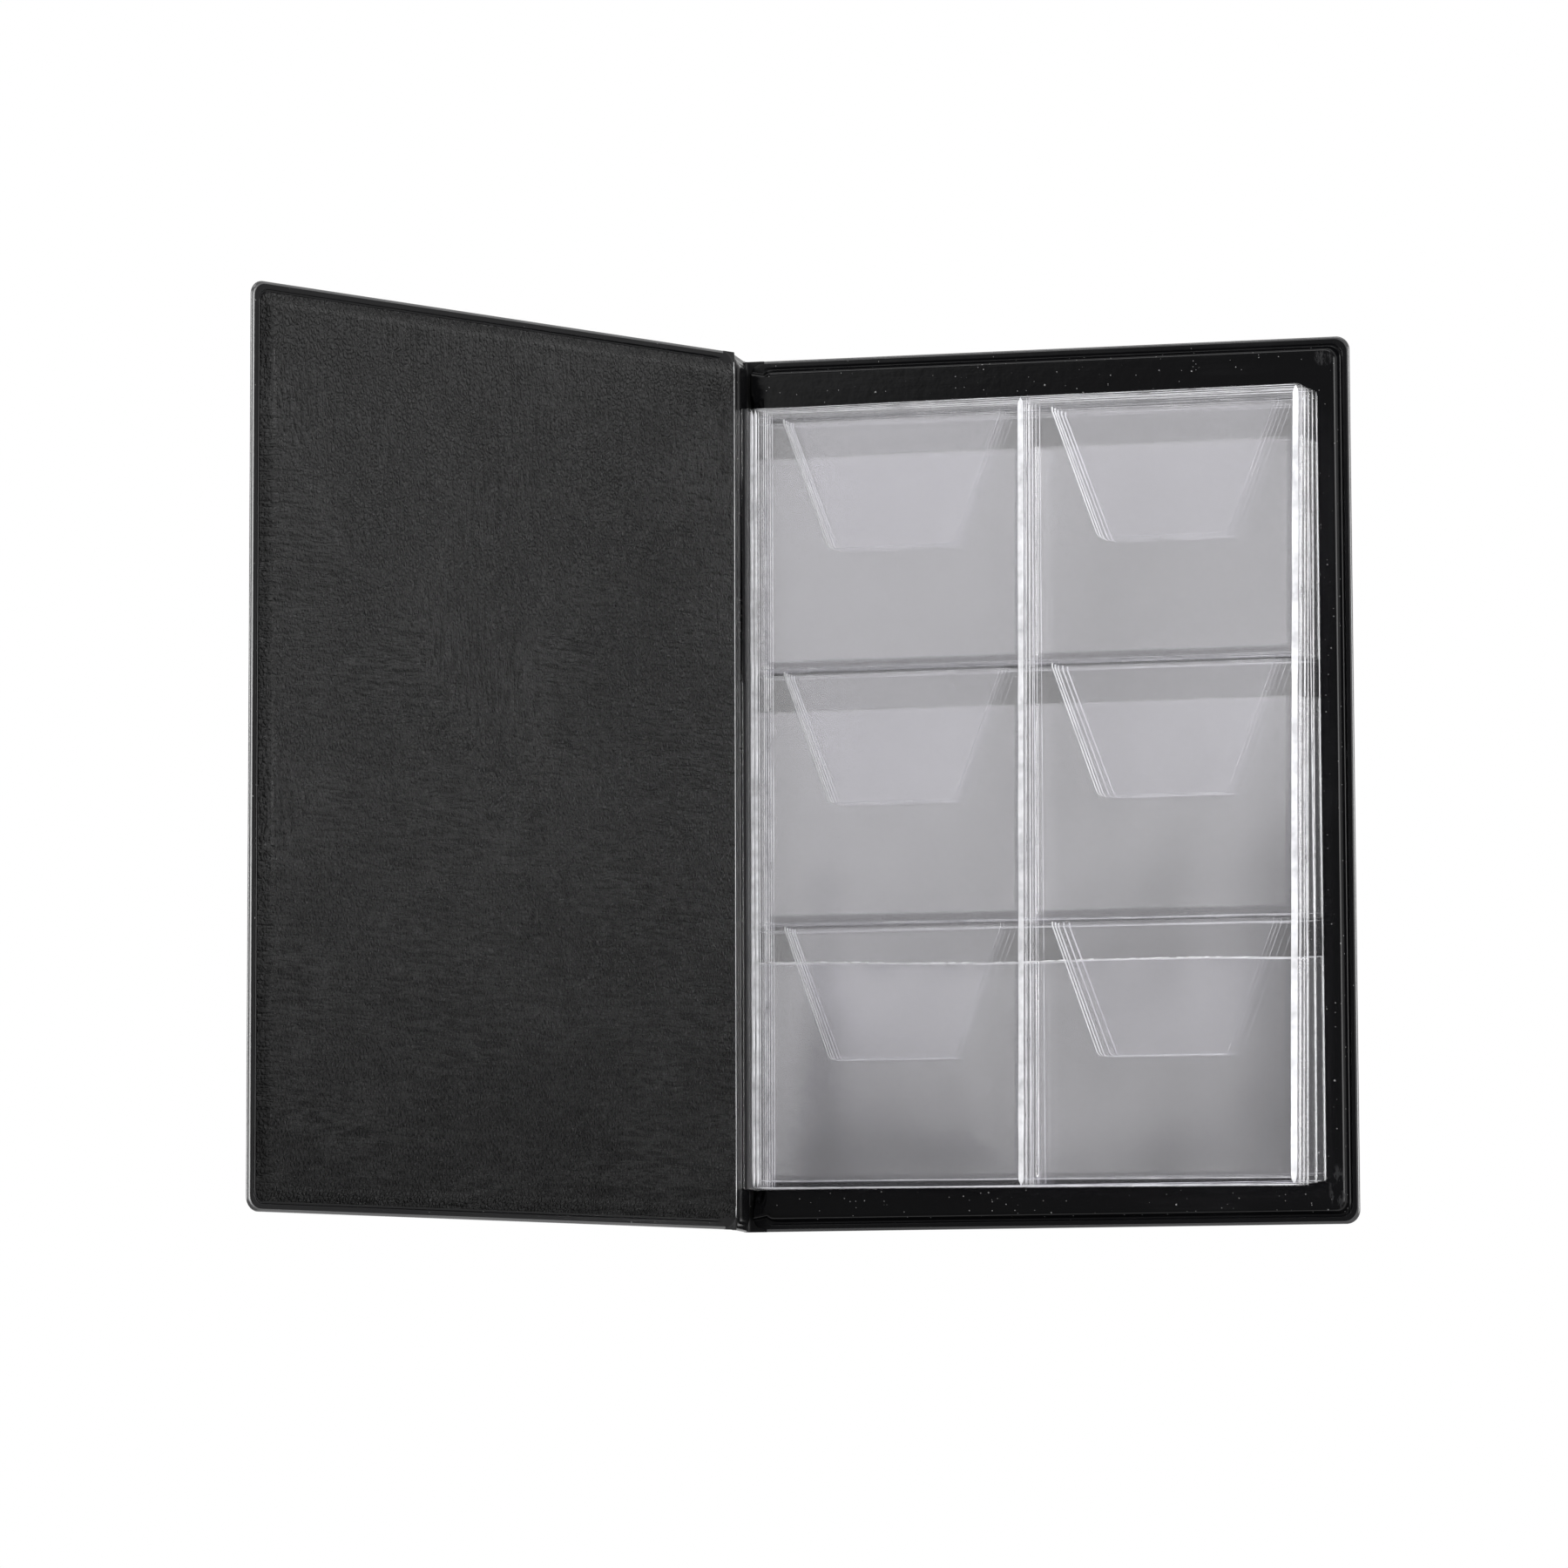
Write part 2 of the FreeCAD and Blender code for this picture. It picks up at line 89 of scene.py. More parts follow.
def value_noise(x, y, seed, px, py):
    """Smooth lattice noise in -1..1 with cell sizes px, py. The lattice is a fixed hash, so it is the same each run."""
    gx, gy = np.asarray(x, float) / px, np.asarray(y, float) / py
    ix, iy = np.floor(gx).astype(np.int64), np.floor(gy).astype(np.int64)
    fx, fy = gx - ix, gy - iy
    fx, fy = fx * fx * fx * (fx * (fx * 6 - 15) + 10), fy * fy * fy * (fy * (fy * 6 - 15) + 10)

    def h(a, b):
        n = (a * 374761393 + b * 668265263 + seed * 2147483647 + 1013904223) & 0xFFFFFFFF
        n = ((n ^ (n >> 13)) * 1274126177) & 0xFFFFFFFF
        n = (n ^ (n >> 16)) & 0xFFFF
        return n / 32767.5 - 1.0

    v00, v10, v01, v11 = h(ix, iy), h(ix + 1, iy), h(ix, iy + 1), h(ix + 1, iy + 1)
    return (v00 * (1 - fx) + v10 * fx) * (1 - fy) + (v01 * (1 - fx) + v11 * fx) * fy


def sheet_solid(name, xs, ys, top, bottom, place, drop=None):
    """A closed thin solid over a grid. top/bottom give heights from (X, Y) arrays, place turns local arrays to album coordinates.
    drop(X, Y) may move the grid points in the plane and returns new X, Y."""
    X, Y = np.meshgrid(xs, ys, indexing="ij")
    PX, PY = drop(X, Y) if drop else (X, Y)
    n, m = X.shape
    zt, zb = top(X, Y) + 0 * X, bottom(X, Y) + 0 * X
    A = np.stack(place(PX, PY, zt), -1).reshape(-1, 3)
    B = np.stack(place(PX, PY, zb), -1).reshape(-1, 3)
    idx = np.arange(n * m).reshape(n, m)
    f = []
    q = np.stack([idx[:-1, :-1], idx[1:, :-1], idx[1:, 1:], idx[:-1, 1:]], -1).reshape(-1, 4)
    f.append(q)
    f.append(q[:, ::-1] + n * m)
    rim = np.concatenate([idx[:, 0], idx[-1, 1:], idx[-2::-1, -1], idx[0, -2:0:-1]])
    nxt = np.roll(rim, -1)
    f.append(np.stack([rim, rim + n * m, nxt + n * m, nxt], -1))
    F = np.concatenate(f)
    V = np.concatenate([A, B]) * MM
    return mesh_object(name, V.tolist(), F.tolist()), (X, Y)


def merged(values, gap=0.02):
    out = []
    for v in sorted(values):
        if not out or v - out[-1] > gap:
            out.append(v)
    return np.array(out)


# ------------------------------------------------------------------ nodes for materials
class Graph:
    def __init__(self, name, alpha=False):
        self.mat = bpy.data.materials.new(name)
        self.mat.use_nodes = True
        self.nt = self.mat.node_tree
        self.nt.nodes.clear()
        self.out = self.nt.nodes.new("ShaderNodeOutputMaterial")

    def new(self, kind, **inputs):
        n = self.nt.nodes.new(kind)
        for k, v in inputs.items():
            k = k.replace("__", " ")
            if k in n.inputs:
                self.feed(n.inputs[k], v)
            else:
                setattr(n, k, v)
        return n

    def feed(self, socket, v):
        if isinstance(v, bpy.types.NodeSocket):
            self.nt.links.new(v, socket)
        else:
            socket.default_value = v

    def math(self, op, a, b=0.0, c=0.0, clamp=False):
        n = self.nt.nodes.new("ShaderNodeMath")
        n.operation = op
        n.use_clamp = clamp
        self.feed(n.inputs[0], a); self.feed(n.inputs[1], b); self.feed(n.inputs[2], c)
        return n.outputs[0]

    def coords(self):
        if not hasattr(self, "_co"):
            self._co = self.nt.nodes.new("ShaderNodeTexCoord")
        return self._co.outputs["Object"]

    def mapped(self, scale=(1, 1, 1), rotation=(0, 0, 0), location=(0, 0, 0), source=None):
        n = self.nt.nodes.new("ShaderNodeMapping")
        self.feed(n.inputs["Vector"], source or self.coords())
        n.inputs["Scale"].default_value = scale
        n.inputs["Rotation"].default_value = rotation
        n.inputs["Location"].default_value = location
        return n.outputs[0]

    def noise(self, vector, scale=1.0, detail=3.0, rough=0.55, distortion=0.0, lac=2.0):
        n = self.nt.nodes.new("ShaderNodeTexNoise")
        self.feed(n.inputs["Vector"], vector)
        n.inputs["Scale"].default_value = scale
        n.inputs["Detail"].default_value = detail
        n.inputs["Roughness"].default_value = rough
        n.inputs["Distortion"].default_value = distortion
        n.inputs["Lacunarity"].default_value = lac
        return n.outputs["Fac"]

    def voronoi(self, vector, scale=1.0, feature="F1", out="Distance", randomness=1.0):
        n = self.nt.nodes.new("ShaderNodeTexVoronoi")
        n.feature = feature
        self.feed(n.inputs["Vector"], vector)
        n.inputs["Scale"].default_value = scale
        n.inputs["Randomness"].default_value = randomness
        return n.outputs[out]

    def ramp(self, fac, stops):
        n = self.nt.nodes.new("ShaderNodeValToRGB")
        self.feed(n.inputs[0], fac)
        el = n.color_ramp.elements
        while len(el) > len(stops):
            el.remove(el[-1])
        while len(el) < len(stops):
            el.new(0.5)
        for e, (p, c) in zip(el, stops):
            e.position = p
            e.color = c if len(c) == 4 else (*c, 1)
        return n.outputs[0]

    def range(self, v, a, b, c, d):
        n = self.nt.nodes.new("ShaderNodeMapRange")
        self.feed(n.inputs[0], v)
        for i, k in enumerate((a, b, c, d)):
            self.feed(n.inputs[i + 1], k)
        return n.outputs[0]

    def mix(self, fac, a, b):
        n = self.nt.nodes.new("ShaderNodeMix")
        n.data_type = "RGBA"
        self.feed(n.inputs[0], fac)
        self.feed(n.inputs[6], a)
        self.feed(n.inputs[7], b)
        return n.outputs[2]

    def bump(self, height, strength, distance, normal=None):
        n = self.nt.nodes.new("ShaderNodeBump")
        self.feed(n.inputs["Strength"], strength)
        self.feed(n.inputs["Distance"], distance)
        self.feed(n.inputs["Height"], height)
        if normal is not None:
            self.feed(n.inputs["Normal"], normal)
        return n.outputs[0]

    def finish(self, shader):
        self.nt.links.new(shader, self.out.inputs["Surface"])
        return self.mat


def specks(g, scale, size, amount, seed=0.0):
    """Dust: tiny bright dots, from Voronoi cells of which only a few hold a speck. Returns 0..1."""
    v = g.mapped(location=(seed, seed * 1.7, 0))
    n = g.nt.nodes.new("ShaderNodeTexVoronoi")
    g.feed(n.inputs["Vector"], v)
    n.inputs["Scale"].default_value = scale
    sep = g.nt.nodes.new("ShaderNodeSeparateColor")
    g.feed(sep.inputs[0], n.outputs["Color"])
    keep = g.math("LESS_THAN", sep.outputs[0], amount)
    r = g.math("MULTIPLY", sep.outputs[1], size)
    dot = g.math("LESS_THAN", n.outputs["Distance"], r)
    return g.math("MULTIPLY", keep, dot)


def grained_vinyl(name, base, rough=0.42, wrinkle=1.0, pebble=0.6, dust=0.0, spec=0.5, foot_shade=1.0, pitch=900.0, lift=0.008, patchy=0.28):
    """Black vinyl with pressed leather grain: fibrous creases in two directions over fine pebbling."""
    g = Graph(name)
    warp_v = g.nt.nodes.new("ShaderNodeTexNoise")
    g.feed(warp_v.inputs["Vector"], g.coords())
    warp_v.inputs["Scale"].default_value = 90.0
    warp_v.inputs["Detail"].default_value = 2.0
    shifted = g.nt.nodes.new("ShaderNodeVectorMath")
    shifted.operation = "MULTIPLY_ADD"
    g.feed(shifted.inputs[0], warp_v.outputs["Color"])
    shifted.inputs[1].default_value = (0.0016, 0.0016, 0.0016)
    g.feed(shifted.inputs[2], g.coords())
    src = shifted.outputs[0]
    along_y = g.noise(g.mapped(scale=(pitch, pitch / 6, pitch), source=src), 1.0, 3.0, 0.6)      # creases along Y
    along_x = g.noise(g.mapped(scale=(pitch / 6, pitch, pitch / 6), source=src), 1.0, 3.0, 0.6)      # creases across
    fine = g.noise(g.mapped(scale=(2100, 2100, 2100), source=src), 1.0, 2.0, 0.6)
    cells = g.voronoi(g.mapped(scale=(1300, 950, 1300), source=src), 1.0, "DISTANCE_TO_EDGE")
    cells = g.range(cells, 0.0, 0.28, 0.0, 1.0)
    pick = g.noise(g.mapped(scale=(17, 11, 17), location=(3.1, 0.4, 1.2)), 1.0, 2.0)
    if foot_shade < 1.0:
        # level creases take over towards the foot
        at = g.nt.nodes.new("ShaderNodeSeparateXYZ")
        g.feed(at.inputs[0], g.coords())
        pick = g.math("ADD", pick, g.range(at.outputs[1], -0.05, 0.07, 0.13, -0.05))
        pick = g.math("ADD", pick, g.range(at.outputs[2], 0.008, 0.055, 0.11, 0.0))    # and towards the fold
    pick = g.range(pick, 0.42, 0.58, 0.0, 1.0)
    fib = g.math("ADD", g.math("MULTIPLY", along_y, g.math("SUBTRACT", 1.0, pick)), g.math("MULTIPLY", along_x, pick))
    ridged = g.math("ABSOLUTE", g.math("SUBTRACT", fib, 0.5))
    ridged = g.math("SUBTRACT", 1.0, g.math("MULTIPLY", ridged, 9.0), clamp=True)     # thin creases where the noise crosses its middle
    where = g.range(g.noise(g.mapped(scale=(38, 55, 38), location=(0.7, 2.2, 0.1)), 1.0, 3.0, 0.6), 0.40, 0.68, patchy, 0.90)
    height = g.math("MULTIPLY", g.math("ADD", g.math("MULTIPLY", fib, 0.55 * wrinkle), g.math("MULTIPLY", ridged, -0.50 * wrinkle)), where)
    height = g.math("ADD", height, g.math("MULTIPLY", cells, 0.24 * pebble))
    height = g.math("ADD", height, g.math("MULTIPLY", fine, 0.26))
    normal = g.bump(height, 1.0, 0.0026)
    tone = g.noise(g.mapped(scale=(45, 45, 45)), 1.0, 4.0)
    lighter = tuple(min(1.0, c * 2.6 + lift) for c in base[:3]) + (1,)
    col = g.mix(g.math("MULTIPLY", g.math("MULTIPLY", ridged, where), 0.62), (*base[:3], 1), lighter)
    col = g.mix(g.range(tone, 0.42, 0.7, 0.0, 0.10), col, lighter)
    r = g.math("ADD", g.math("MULTIPLY", tone, 0.12), rough - 0.06)
    if dust:
        d = specks(g, 900.0, 0.10, dust * 0.6, 0.37)
        col = g.mix(d, col, (0.16, 0.16, 0.16, 1))
    p = g.new("ShaderNodeBsdfPrincipled", Base__Color=col, Roughness=r, Normal=normal)
    p.inputs["Specular IOR Level"].default_value = spec
    if foot_shade < 1.0:
        # painted shade: the specular level falls towards the foot, so the lining reads darker there
        g.feed(p.inputs["Specular IOR Level"], g.range(at.outputs[1], -0.085, -0.005, spec * foot_shade, spec))
    return g.finish(p.outputs[0])


def smooth_vinyl(name, base=(0.0035, 0.0035, 0.004, 1), rough=0.16, dust=0.09, scuff=0.5, spec=0.42, rubs=()):
    """Glossy black vinyl: faint orange peel, hairline scuffs, settled dust, and rubbed patches (x, y, half width, half height in mm)."""
    g = Graph(name)
    peel = g.noise(g.mapped(scale=(420, 420, 420)), 1.0, 2.0)
    long = g.noise(g.mapped(scale=(60, 900, 60), rotation=(0, 0, 0.35)), 1.0, 4.0, 0.7)
    height = g.math("ADD", g.math("MULTIPLY", peel, 0.6), g.math("MULTIPLY", long, 0.25))
    normal = g.bump(height, 0.22, 0.0002)
    cloud = g.noise(g.mapped(scale=(30, 30, 30)), 1.0, 4.0)
    streak = g.noise(g.mapped(scale=(14, 260, 14), rotation=(0, 0, 0.6)), 1.0, 5.0, 0.75)
    wear = g.range(g.math("MULTIPLY", streak, cloud), 0.28, 0.42, 0.0, 1.0)
    r = g.math("ADD", rough, g.math("MULTIPLY", g.math("ADD", wear, cloud), 0.10 * scuff))
    d = specks(g, 620.0, 0.13, dust, 0.11)
    d2 = specks(g, 1700.0, 0.22, dust * 1.2, 0.53)
    d = g.math("MAXIMUM", d, d2)
    col = g.mix(g.math("MULTIPLY", wear, 0.25), base, (0.012, 0.012, 0.013, 1))
    col = g.mix(d, col, (0.20, 0.20, 0.20, 1))
    r = g.math("MAXIMUM", r, g.math("MULTIPLY", d, 0.8))
    if rubs:
        at = g.nt.nodes.new("ShaderNodeSeparateXYZ")
        g.feed(at.inputs[0], g.coords())
        scratch = g.range(g.noise(g.mapped(scale=(700, 260, 300), rotation=(0, 0, 0.5), location=(0.3, 0.1, 0)), 1.0, 4.0, 0.75), 0.50, 0.62, 0.0, 1.0)
        for x, y, w, h in rubs:
            ex = g.math("POWER", g.math("MULTIPLY", g.math("SUBTRACT", at.outputs[0], x * MM), 1 / (w * MM)), 2.0)
            ey = g.math("POWER", g.math("MULTIPLY", g.math("SUBTRACT", at.outputs[1], y * MM), 1 / (h * MM)), 2.0)
            patch = g.math("SUBTRACT", 1.0, g.math("ADD", ex, ey), clamp=True)
            m = g.math("MULTIPLY", g.math("MULTIPLY", patch, 2.0, clamp=True), scratch)
            col = g.mix(m, col, (0.016, 0.016, 0.017, 1))
            r = g.math("MAXIMUM", r, g.math("MULTIPLY", m, 0.6))
    p = g.new("ShaderNodeBsdfPrincipled", Base__Color=col, Roughness=r, Normal=normal)
    p.inputs["Specular IOR Level"].default_value = spec
    return g.finish(p.outputs[0])


def clear_film(name, haze=0.0048, gloss=0.80, rough=0.09, tint=(0.987, 0.986, 0.990), milk=(0.92, 0.915, 0.935)):
    """Clear soft film, per face: passes most light, mirrors a little by Fresnel, scatters a little.
    The weld attribute is +1 on cloudy upright welds and -1 on flat clear seams."""
    g = Graph(name)
    weld = g.new("ShaderNodeAttribute", attribute_name="weld").outputs["Fac"]
    cloud = g.noise(g.mapped(scale=(34, 26, 34)), 1.0, 1.5)
    normal = g.bump(cloud, 0.10, 0.0010)
    fres = g.new("ShaderNodeFresnel", IOR=1.50)
    g.feed(fres.inputs["Normal"], normal)
    flat = g.math("MAXIMUM", g.math("MULTIPLY", weld, -1.0), 0.0)
    cloudy = g.math("MAXIMUM", weld, 0.0)
    keep = g.math("SUBTRACT", 1.0, g.math("MULTIPLY", flat, 0.84))
    clear = g.new("ShaderNodeBsdfTransparent", Color=(*tint, 1))
    mirror = g.new("ShaderNodeBsdfGlossy", Roughness=g.math("ADD", rough, g.math("MULTIPLY", cloud, 0.08)), Color=(1, 1, 1, 1), Normal=normal)
    milky = g.new("ShaderNodeBsdfDiffuse", Color=(*milk, 1), Normal=normal)
    a = g.nt.nodes.new("ShaderNodeMixShader")
    h = g.math("MULTIPLY", g.range(cloud, 0.3, 0.7, haze * 0.8, haze * 1.2), keep)
    g.feed(a.inputs[0], g.math("ADD", h, g.math("MULTIPLY", cloudy, 0.004)))
    g.nt.links.new(clear.outputs[0], a.inputs[1]); g.nt.links.new(milky.outputs[0], a.inputs[2])
    b = g.nt.nodes.new("ShaderNodeMixShader")
    g.feed(b.inputs[0], g.math("MULTIPLY", g.math("MULTIPLY", fres.outputs[0], gloss), keep))
    g.nt.links.new(a.outputs[0], b.inputs[1]); g.nt.links.new(mirror.outputs[0], b.inputs[2])
    return g.finish(b.outputs[0])


def weld_bead(name, body=0.45, rough=0.22):
    """The pressed ridge of a weld: cloudy film that catches the light; its milky white base colour is partly the weld's
    own cloudiness and partly a painted highlight.
    """
    g = Graph(name)
    n = g.noise(g.mapped(scale=(1500, 1500, 1500)), 1.0, 2.0)
    slow = g.noise(g.mapped(scale=(160, 160, 160)), 1.0, 3.0)
    normal = g.bump(n, 0.4, 0.0001)
    clear = g.new("ShaderNodeBsdfTransparent", Color=(0.96, 0.96, 0.97, 1))
    p = g.new("ShaderNodeBsdfPrincipled", Base__Color=(0.86, 0.86, 0.89, 1), Roughness=rough, Normal=normal)
    m = g.nt.nodes.new("ShaderNodeMixShader")
    g.feed(m.inputs[0], g.range(slow, 0.35, 0.65, body * 0.45, min(1.0, body * 1.35)))
    g.nt.links.new(clear.outputs[0], m.inputs[1]); g.nt.links.new(p.outputs[0], m.inputs[2])
    return g.finish(m.outputs[0])


def board_material(name):
    g = Graph(name)
    f = g.noise(g.mapped(scale=(300, 900, 300)), 1.0, 5.0, 0.7)
    col = g.ramp(f, [(0.3, (0.22, 0.20, 0.17)), (0.7, (0.42, 0.39, 0.34))])
    p = g.new("ShaderNodeBsdfPrincipled", Base__Color=col, Roughness=0.9, Normal=g.bump(f, 0.3, 0.0003))
    return g.finish(p.outputs[0])


MAT = {
    "outside": grained_vinyl("vinyl_outside", (0.012, 0.012, 0.013), 0.44, 0.9, 1.0),
    "front_inside": grained_vinyl("vinyl_front_lining", (0.0064, 0.0064, 0.0066), 0.38, 1.15, 0.85, dust=0.02, spec=0.49, foot_shade=0.36, pitch=640.0, lift=0.042, patchy=0.16),
    "back_inside": smooth_vinyl("vinyl_back_lining", base=(0.0022, 0.0022, 0.0026, 1), rough=0.13, dust=0.14, spec=0.22, rubs=((57.5, 85.6, 2.2, 2.0), (58.3, -83.0, 1.9, 5.2))),
    "spine_inside": smooth_vinyl("vinyl_spine_lining", rough=0.22, dust=0.12),
    "rim": smooth_vinyl("vinyl_rim", base=(0.0035, 0.0035, 0.004, 1), rough=0.18, dust=0.03, spec=0.22),
    # the lip's lighter base colour is a painted highlight along the covers' outer edge; its gloss is the vinyl's own
    "lip": smooth_vinyl("vinyl_lip_painted_highlight", base=(0.055, 0.055, 0.056, 1), rough=0.18, dust=0.02, spec=1.0),
    "fold_inside": smooth_vinyl("vinyl_fold", base=(0.003, 0.003, 0.0035, 1), rough=0.45, dust=0.10, spec=0.25),
    "binding": smooth_vinyl("vinyl_binding", rough=0.30, dust=0.10),
    "film": clear_film("film_clear"),
    # the weld and edge finishes below are one milky film in copies that differ mainly in how white they are: the whiter
    # copies paint highlights on ridges and cut edges that catch the lamps, and the dim copy is for those that do not
    "bead": weld_bead("film_weld", body=0.62, rough=0.16),
    "bead_dim": weld_bead("film_weld_dim", body=0.22, rough=0.25),
    "edge": weld_bead("film_edge_painted_highlight", body=0.95, rough=0.18),
    "bead_painted_highlight": weld_bead("film_weld_painted_highlight", body=0.95, rough=0.16),
    # near-white glossy vinyl: a painted highlight for the fold crest
    "crease": smooth_vinyl("vinyl_crease_painted_highlight", base=(0.72, 0.72, 0.73, 1), rough=0.20, dust=0.0, spec=1.0),
    "board": board_material("grey_board"),
}


def dress(o, mat):
    if mat in ("film", "bead", "bead_dim", "bead_painted_highlight", "edge"):
        o.visible_shadow = False      # thin clear film: its faint shadow is left out
        o.visible_diffuse = False
    o.data.materials.clear()
    o.data.materials.append(MAT[mat])


for n, o in NODES.items():
    if n.endswith("_board"):
        dress(o, "board")
    elif n == "leaf_binding_strip":
        dress(o, "binding")
    elif n.startswith("leaf_"):
        dress(o, "film")
    else:
        dress(o, "outside")

# ------------------------------------------------------------------ covers
COVER_W, COVER_H, CORNER = 125.0, 180.0, 2.8
HINGE_EDGE = -62.5
FOLD_X, FOLD_FOOT, FOLD_HEAD = -63.0, 0.45, 12.55
ELEVATION = math.radians(55.7)


def on_back(x, y, z):
    return x + HINGE_EDGE, y, z


def on_front(x, y, z):
    lx, lz = -x - 0.5, z - 0.45
    c, s = math.cos(ELEVATION), math.sin(ELEVATION)
    return FOLD_X + lx * c + lz * s, y, FOLD_HEAD - lx * s + lz * c


def on_spine(x, y, z):
    return -64.25 + z, y, 0.9 + x


EDGE_STEPS = [0, 0.04, 0.10, 0.18, 0.30, 0.55, 0.8, 0.9, 1.0, 1.1, 1.2, 1.3, 1.45, 1.55, 1.65, 1.78, 1.92, 2.05, 2.2, 2.4, 2.65, 2.95, 3.3, 3.7, 4.2, 4.9]


def axis_steps(length, step, edge=EDGE_STEPS):
    inner = np.linspace(edge[-1], length - edge[-1], max(2, int(round((length - 2 * edge[-1]) / step)) + 1))
    return np.concatenate([edge[:-1], inner, [length - e for e in reversed(edge[:-1])]])


def round_corners(width, height, radius, least=0.6):
    """Bends square rings of the grid into rings with round corners."""
    def f(X, Y):
        cx = width / 2
        x, y = X - cx, Y
        a, b = width / 2, height / 2
        ax, ay = np.abs(x), np.abs(y)
        d = np.minimum(a - ax, b - ay)
        r = np.maximum(radius - d * 0.25, least)
        r = np.minimum(r, np.minimum(a, b) - d)
        ux = (a - d) - ax     # distance back from the ring's corner along its head edge
        uy = (b - d) - ay
        on_head = uy <= ux
        u = np.where(on_head, ux, uy)
        inside = u < r
        phi = np.where(on_head, math.pi / 4 + math.pi / 4 * np.clip(u / r, 0, 1), math.pi / 4 - math.pi / 4 * np.clip(u / r, 0, 1))
        nx = (a - d - r) + r * np.cos(phi)
        ny = (b - d - r) + r * np.sin(phi)
        fade = smoothstep(14.0, 6.0, d)
        nx = ax + (nx - ax) * fade
        ny = ay + (ny - ay) * fade
        ax2, ay2 = np.where(inside, nx, ax), np.where(inside, ny, ay)
        return np.sign(x) * ax2 + cx, np.sign(y) * ay2
    return f


def inset(X, Y, width, height):
    return np.minimum(np.minimum(X, width - X), height / 2 - np.abs(Y))


def lining_profile(d, top, rim=0.88, slope=(2.05, 4.0), grooved=1.0, rise_d=None):
    """Height of the inner face by distance from the outline: rounded lip, flat welded rim, die groove, shoulder, plateau."""
    lip = 0.50 + (rim - 0.50) * np.sqrt(np.clip(1 - (1 - np.clip(d / 0.42, 0, 1)) ** 2, 0, 1))
    groove = -0.27 * smoothstep(1.42, 1.72, d) * (1 - smoothstep(1.86, 2.2, d)) * grooved
    rise = (top - rim) * smoothstep(slope[0], slope[1], d if rise_d is None else rise_d) ** 0.85
    return lip + groove + rise


def front_wrinkles(X, Y):
    """Shallow waves and creases of the loose grained lining, in mm."""
    d = inset(X, Y, COVER_W, COVER_H)
    keep = smoothstep(2.2, 6.0, d)
    w = 0.10 * value_noise(X, Y, 3, 38, 55) + 0.05 * value_noise(X, Y, 4, 14, 21)
    # upright creases near the head at the free edge, level ones elsewhere
    upright = smoothstep(60, 95, X) * smoothstep(-20, 60, Y)
    w += 0.035 * value_noise(X, Y, 5, 1.7, 9.0) * (0.35 + 0.65 * upright)
    w += 0.035 * value_noise(X, Y, 6, 8.0, 1.6) * (1 - 0.75 * upright)
    w += 0.018 * value_noise(X, Y, 7, 1.3, 1.1)
    return w * keep


def fold_side(X, Y, clear, gain=1.6):
    """Distance that governs the shoulder: on the fold side the lining runs nearly to the edge. clear(Y) is 1 where it may, 0 where the leaves are bound."""
    d = inset(X, Y, COVER_W, COVER_H)
    side = np.minimum(COVER_W - X, COVER_H / 2 - np.abs(Y))
    if gain > 4:
        # the front lining turns down about 1 mm from the fold, leaving room for the top leaf to stand up beside it
        return np.minimum(side, np.interp(X, [0, 0.85, 1.2, 2.0, COVER_W], [0, 2.1, 4.3, 5.0, 400]))
    return np.minimum(side, X + clear(Y) * (1.95 + gain * np.minimum(X, 1.0)) * smoothstep(0, 0.2, X))


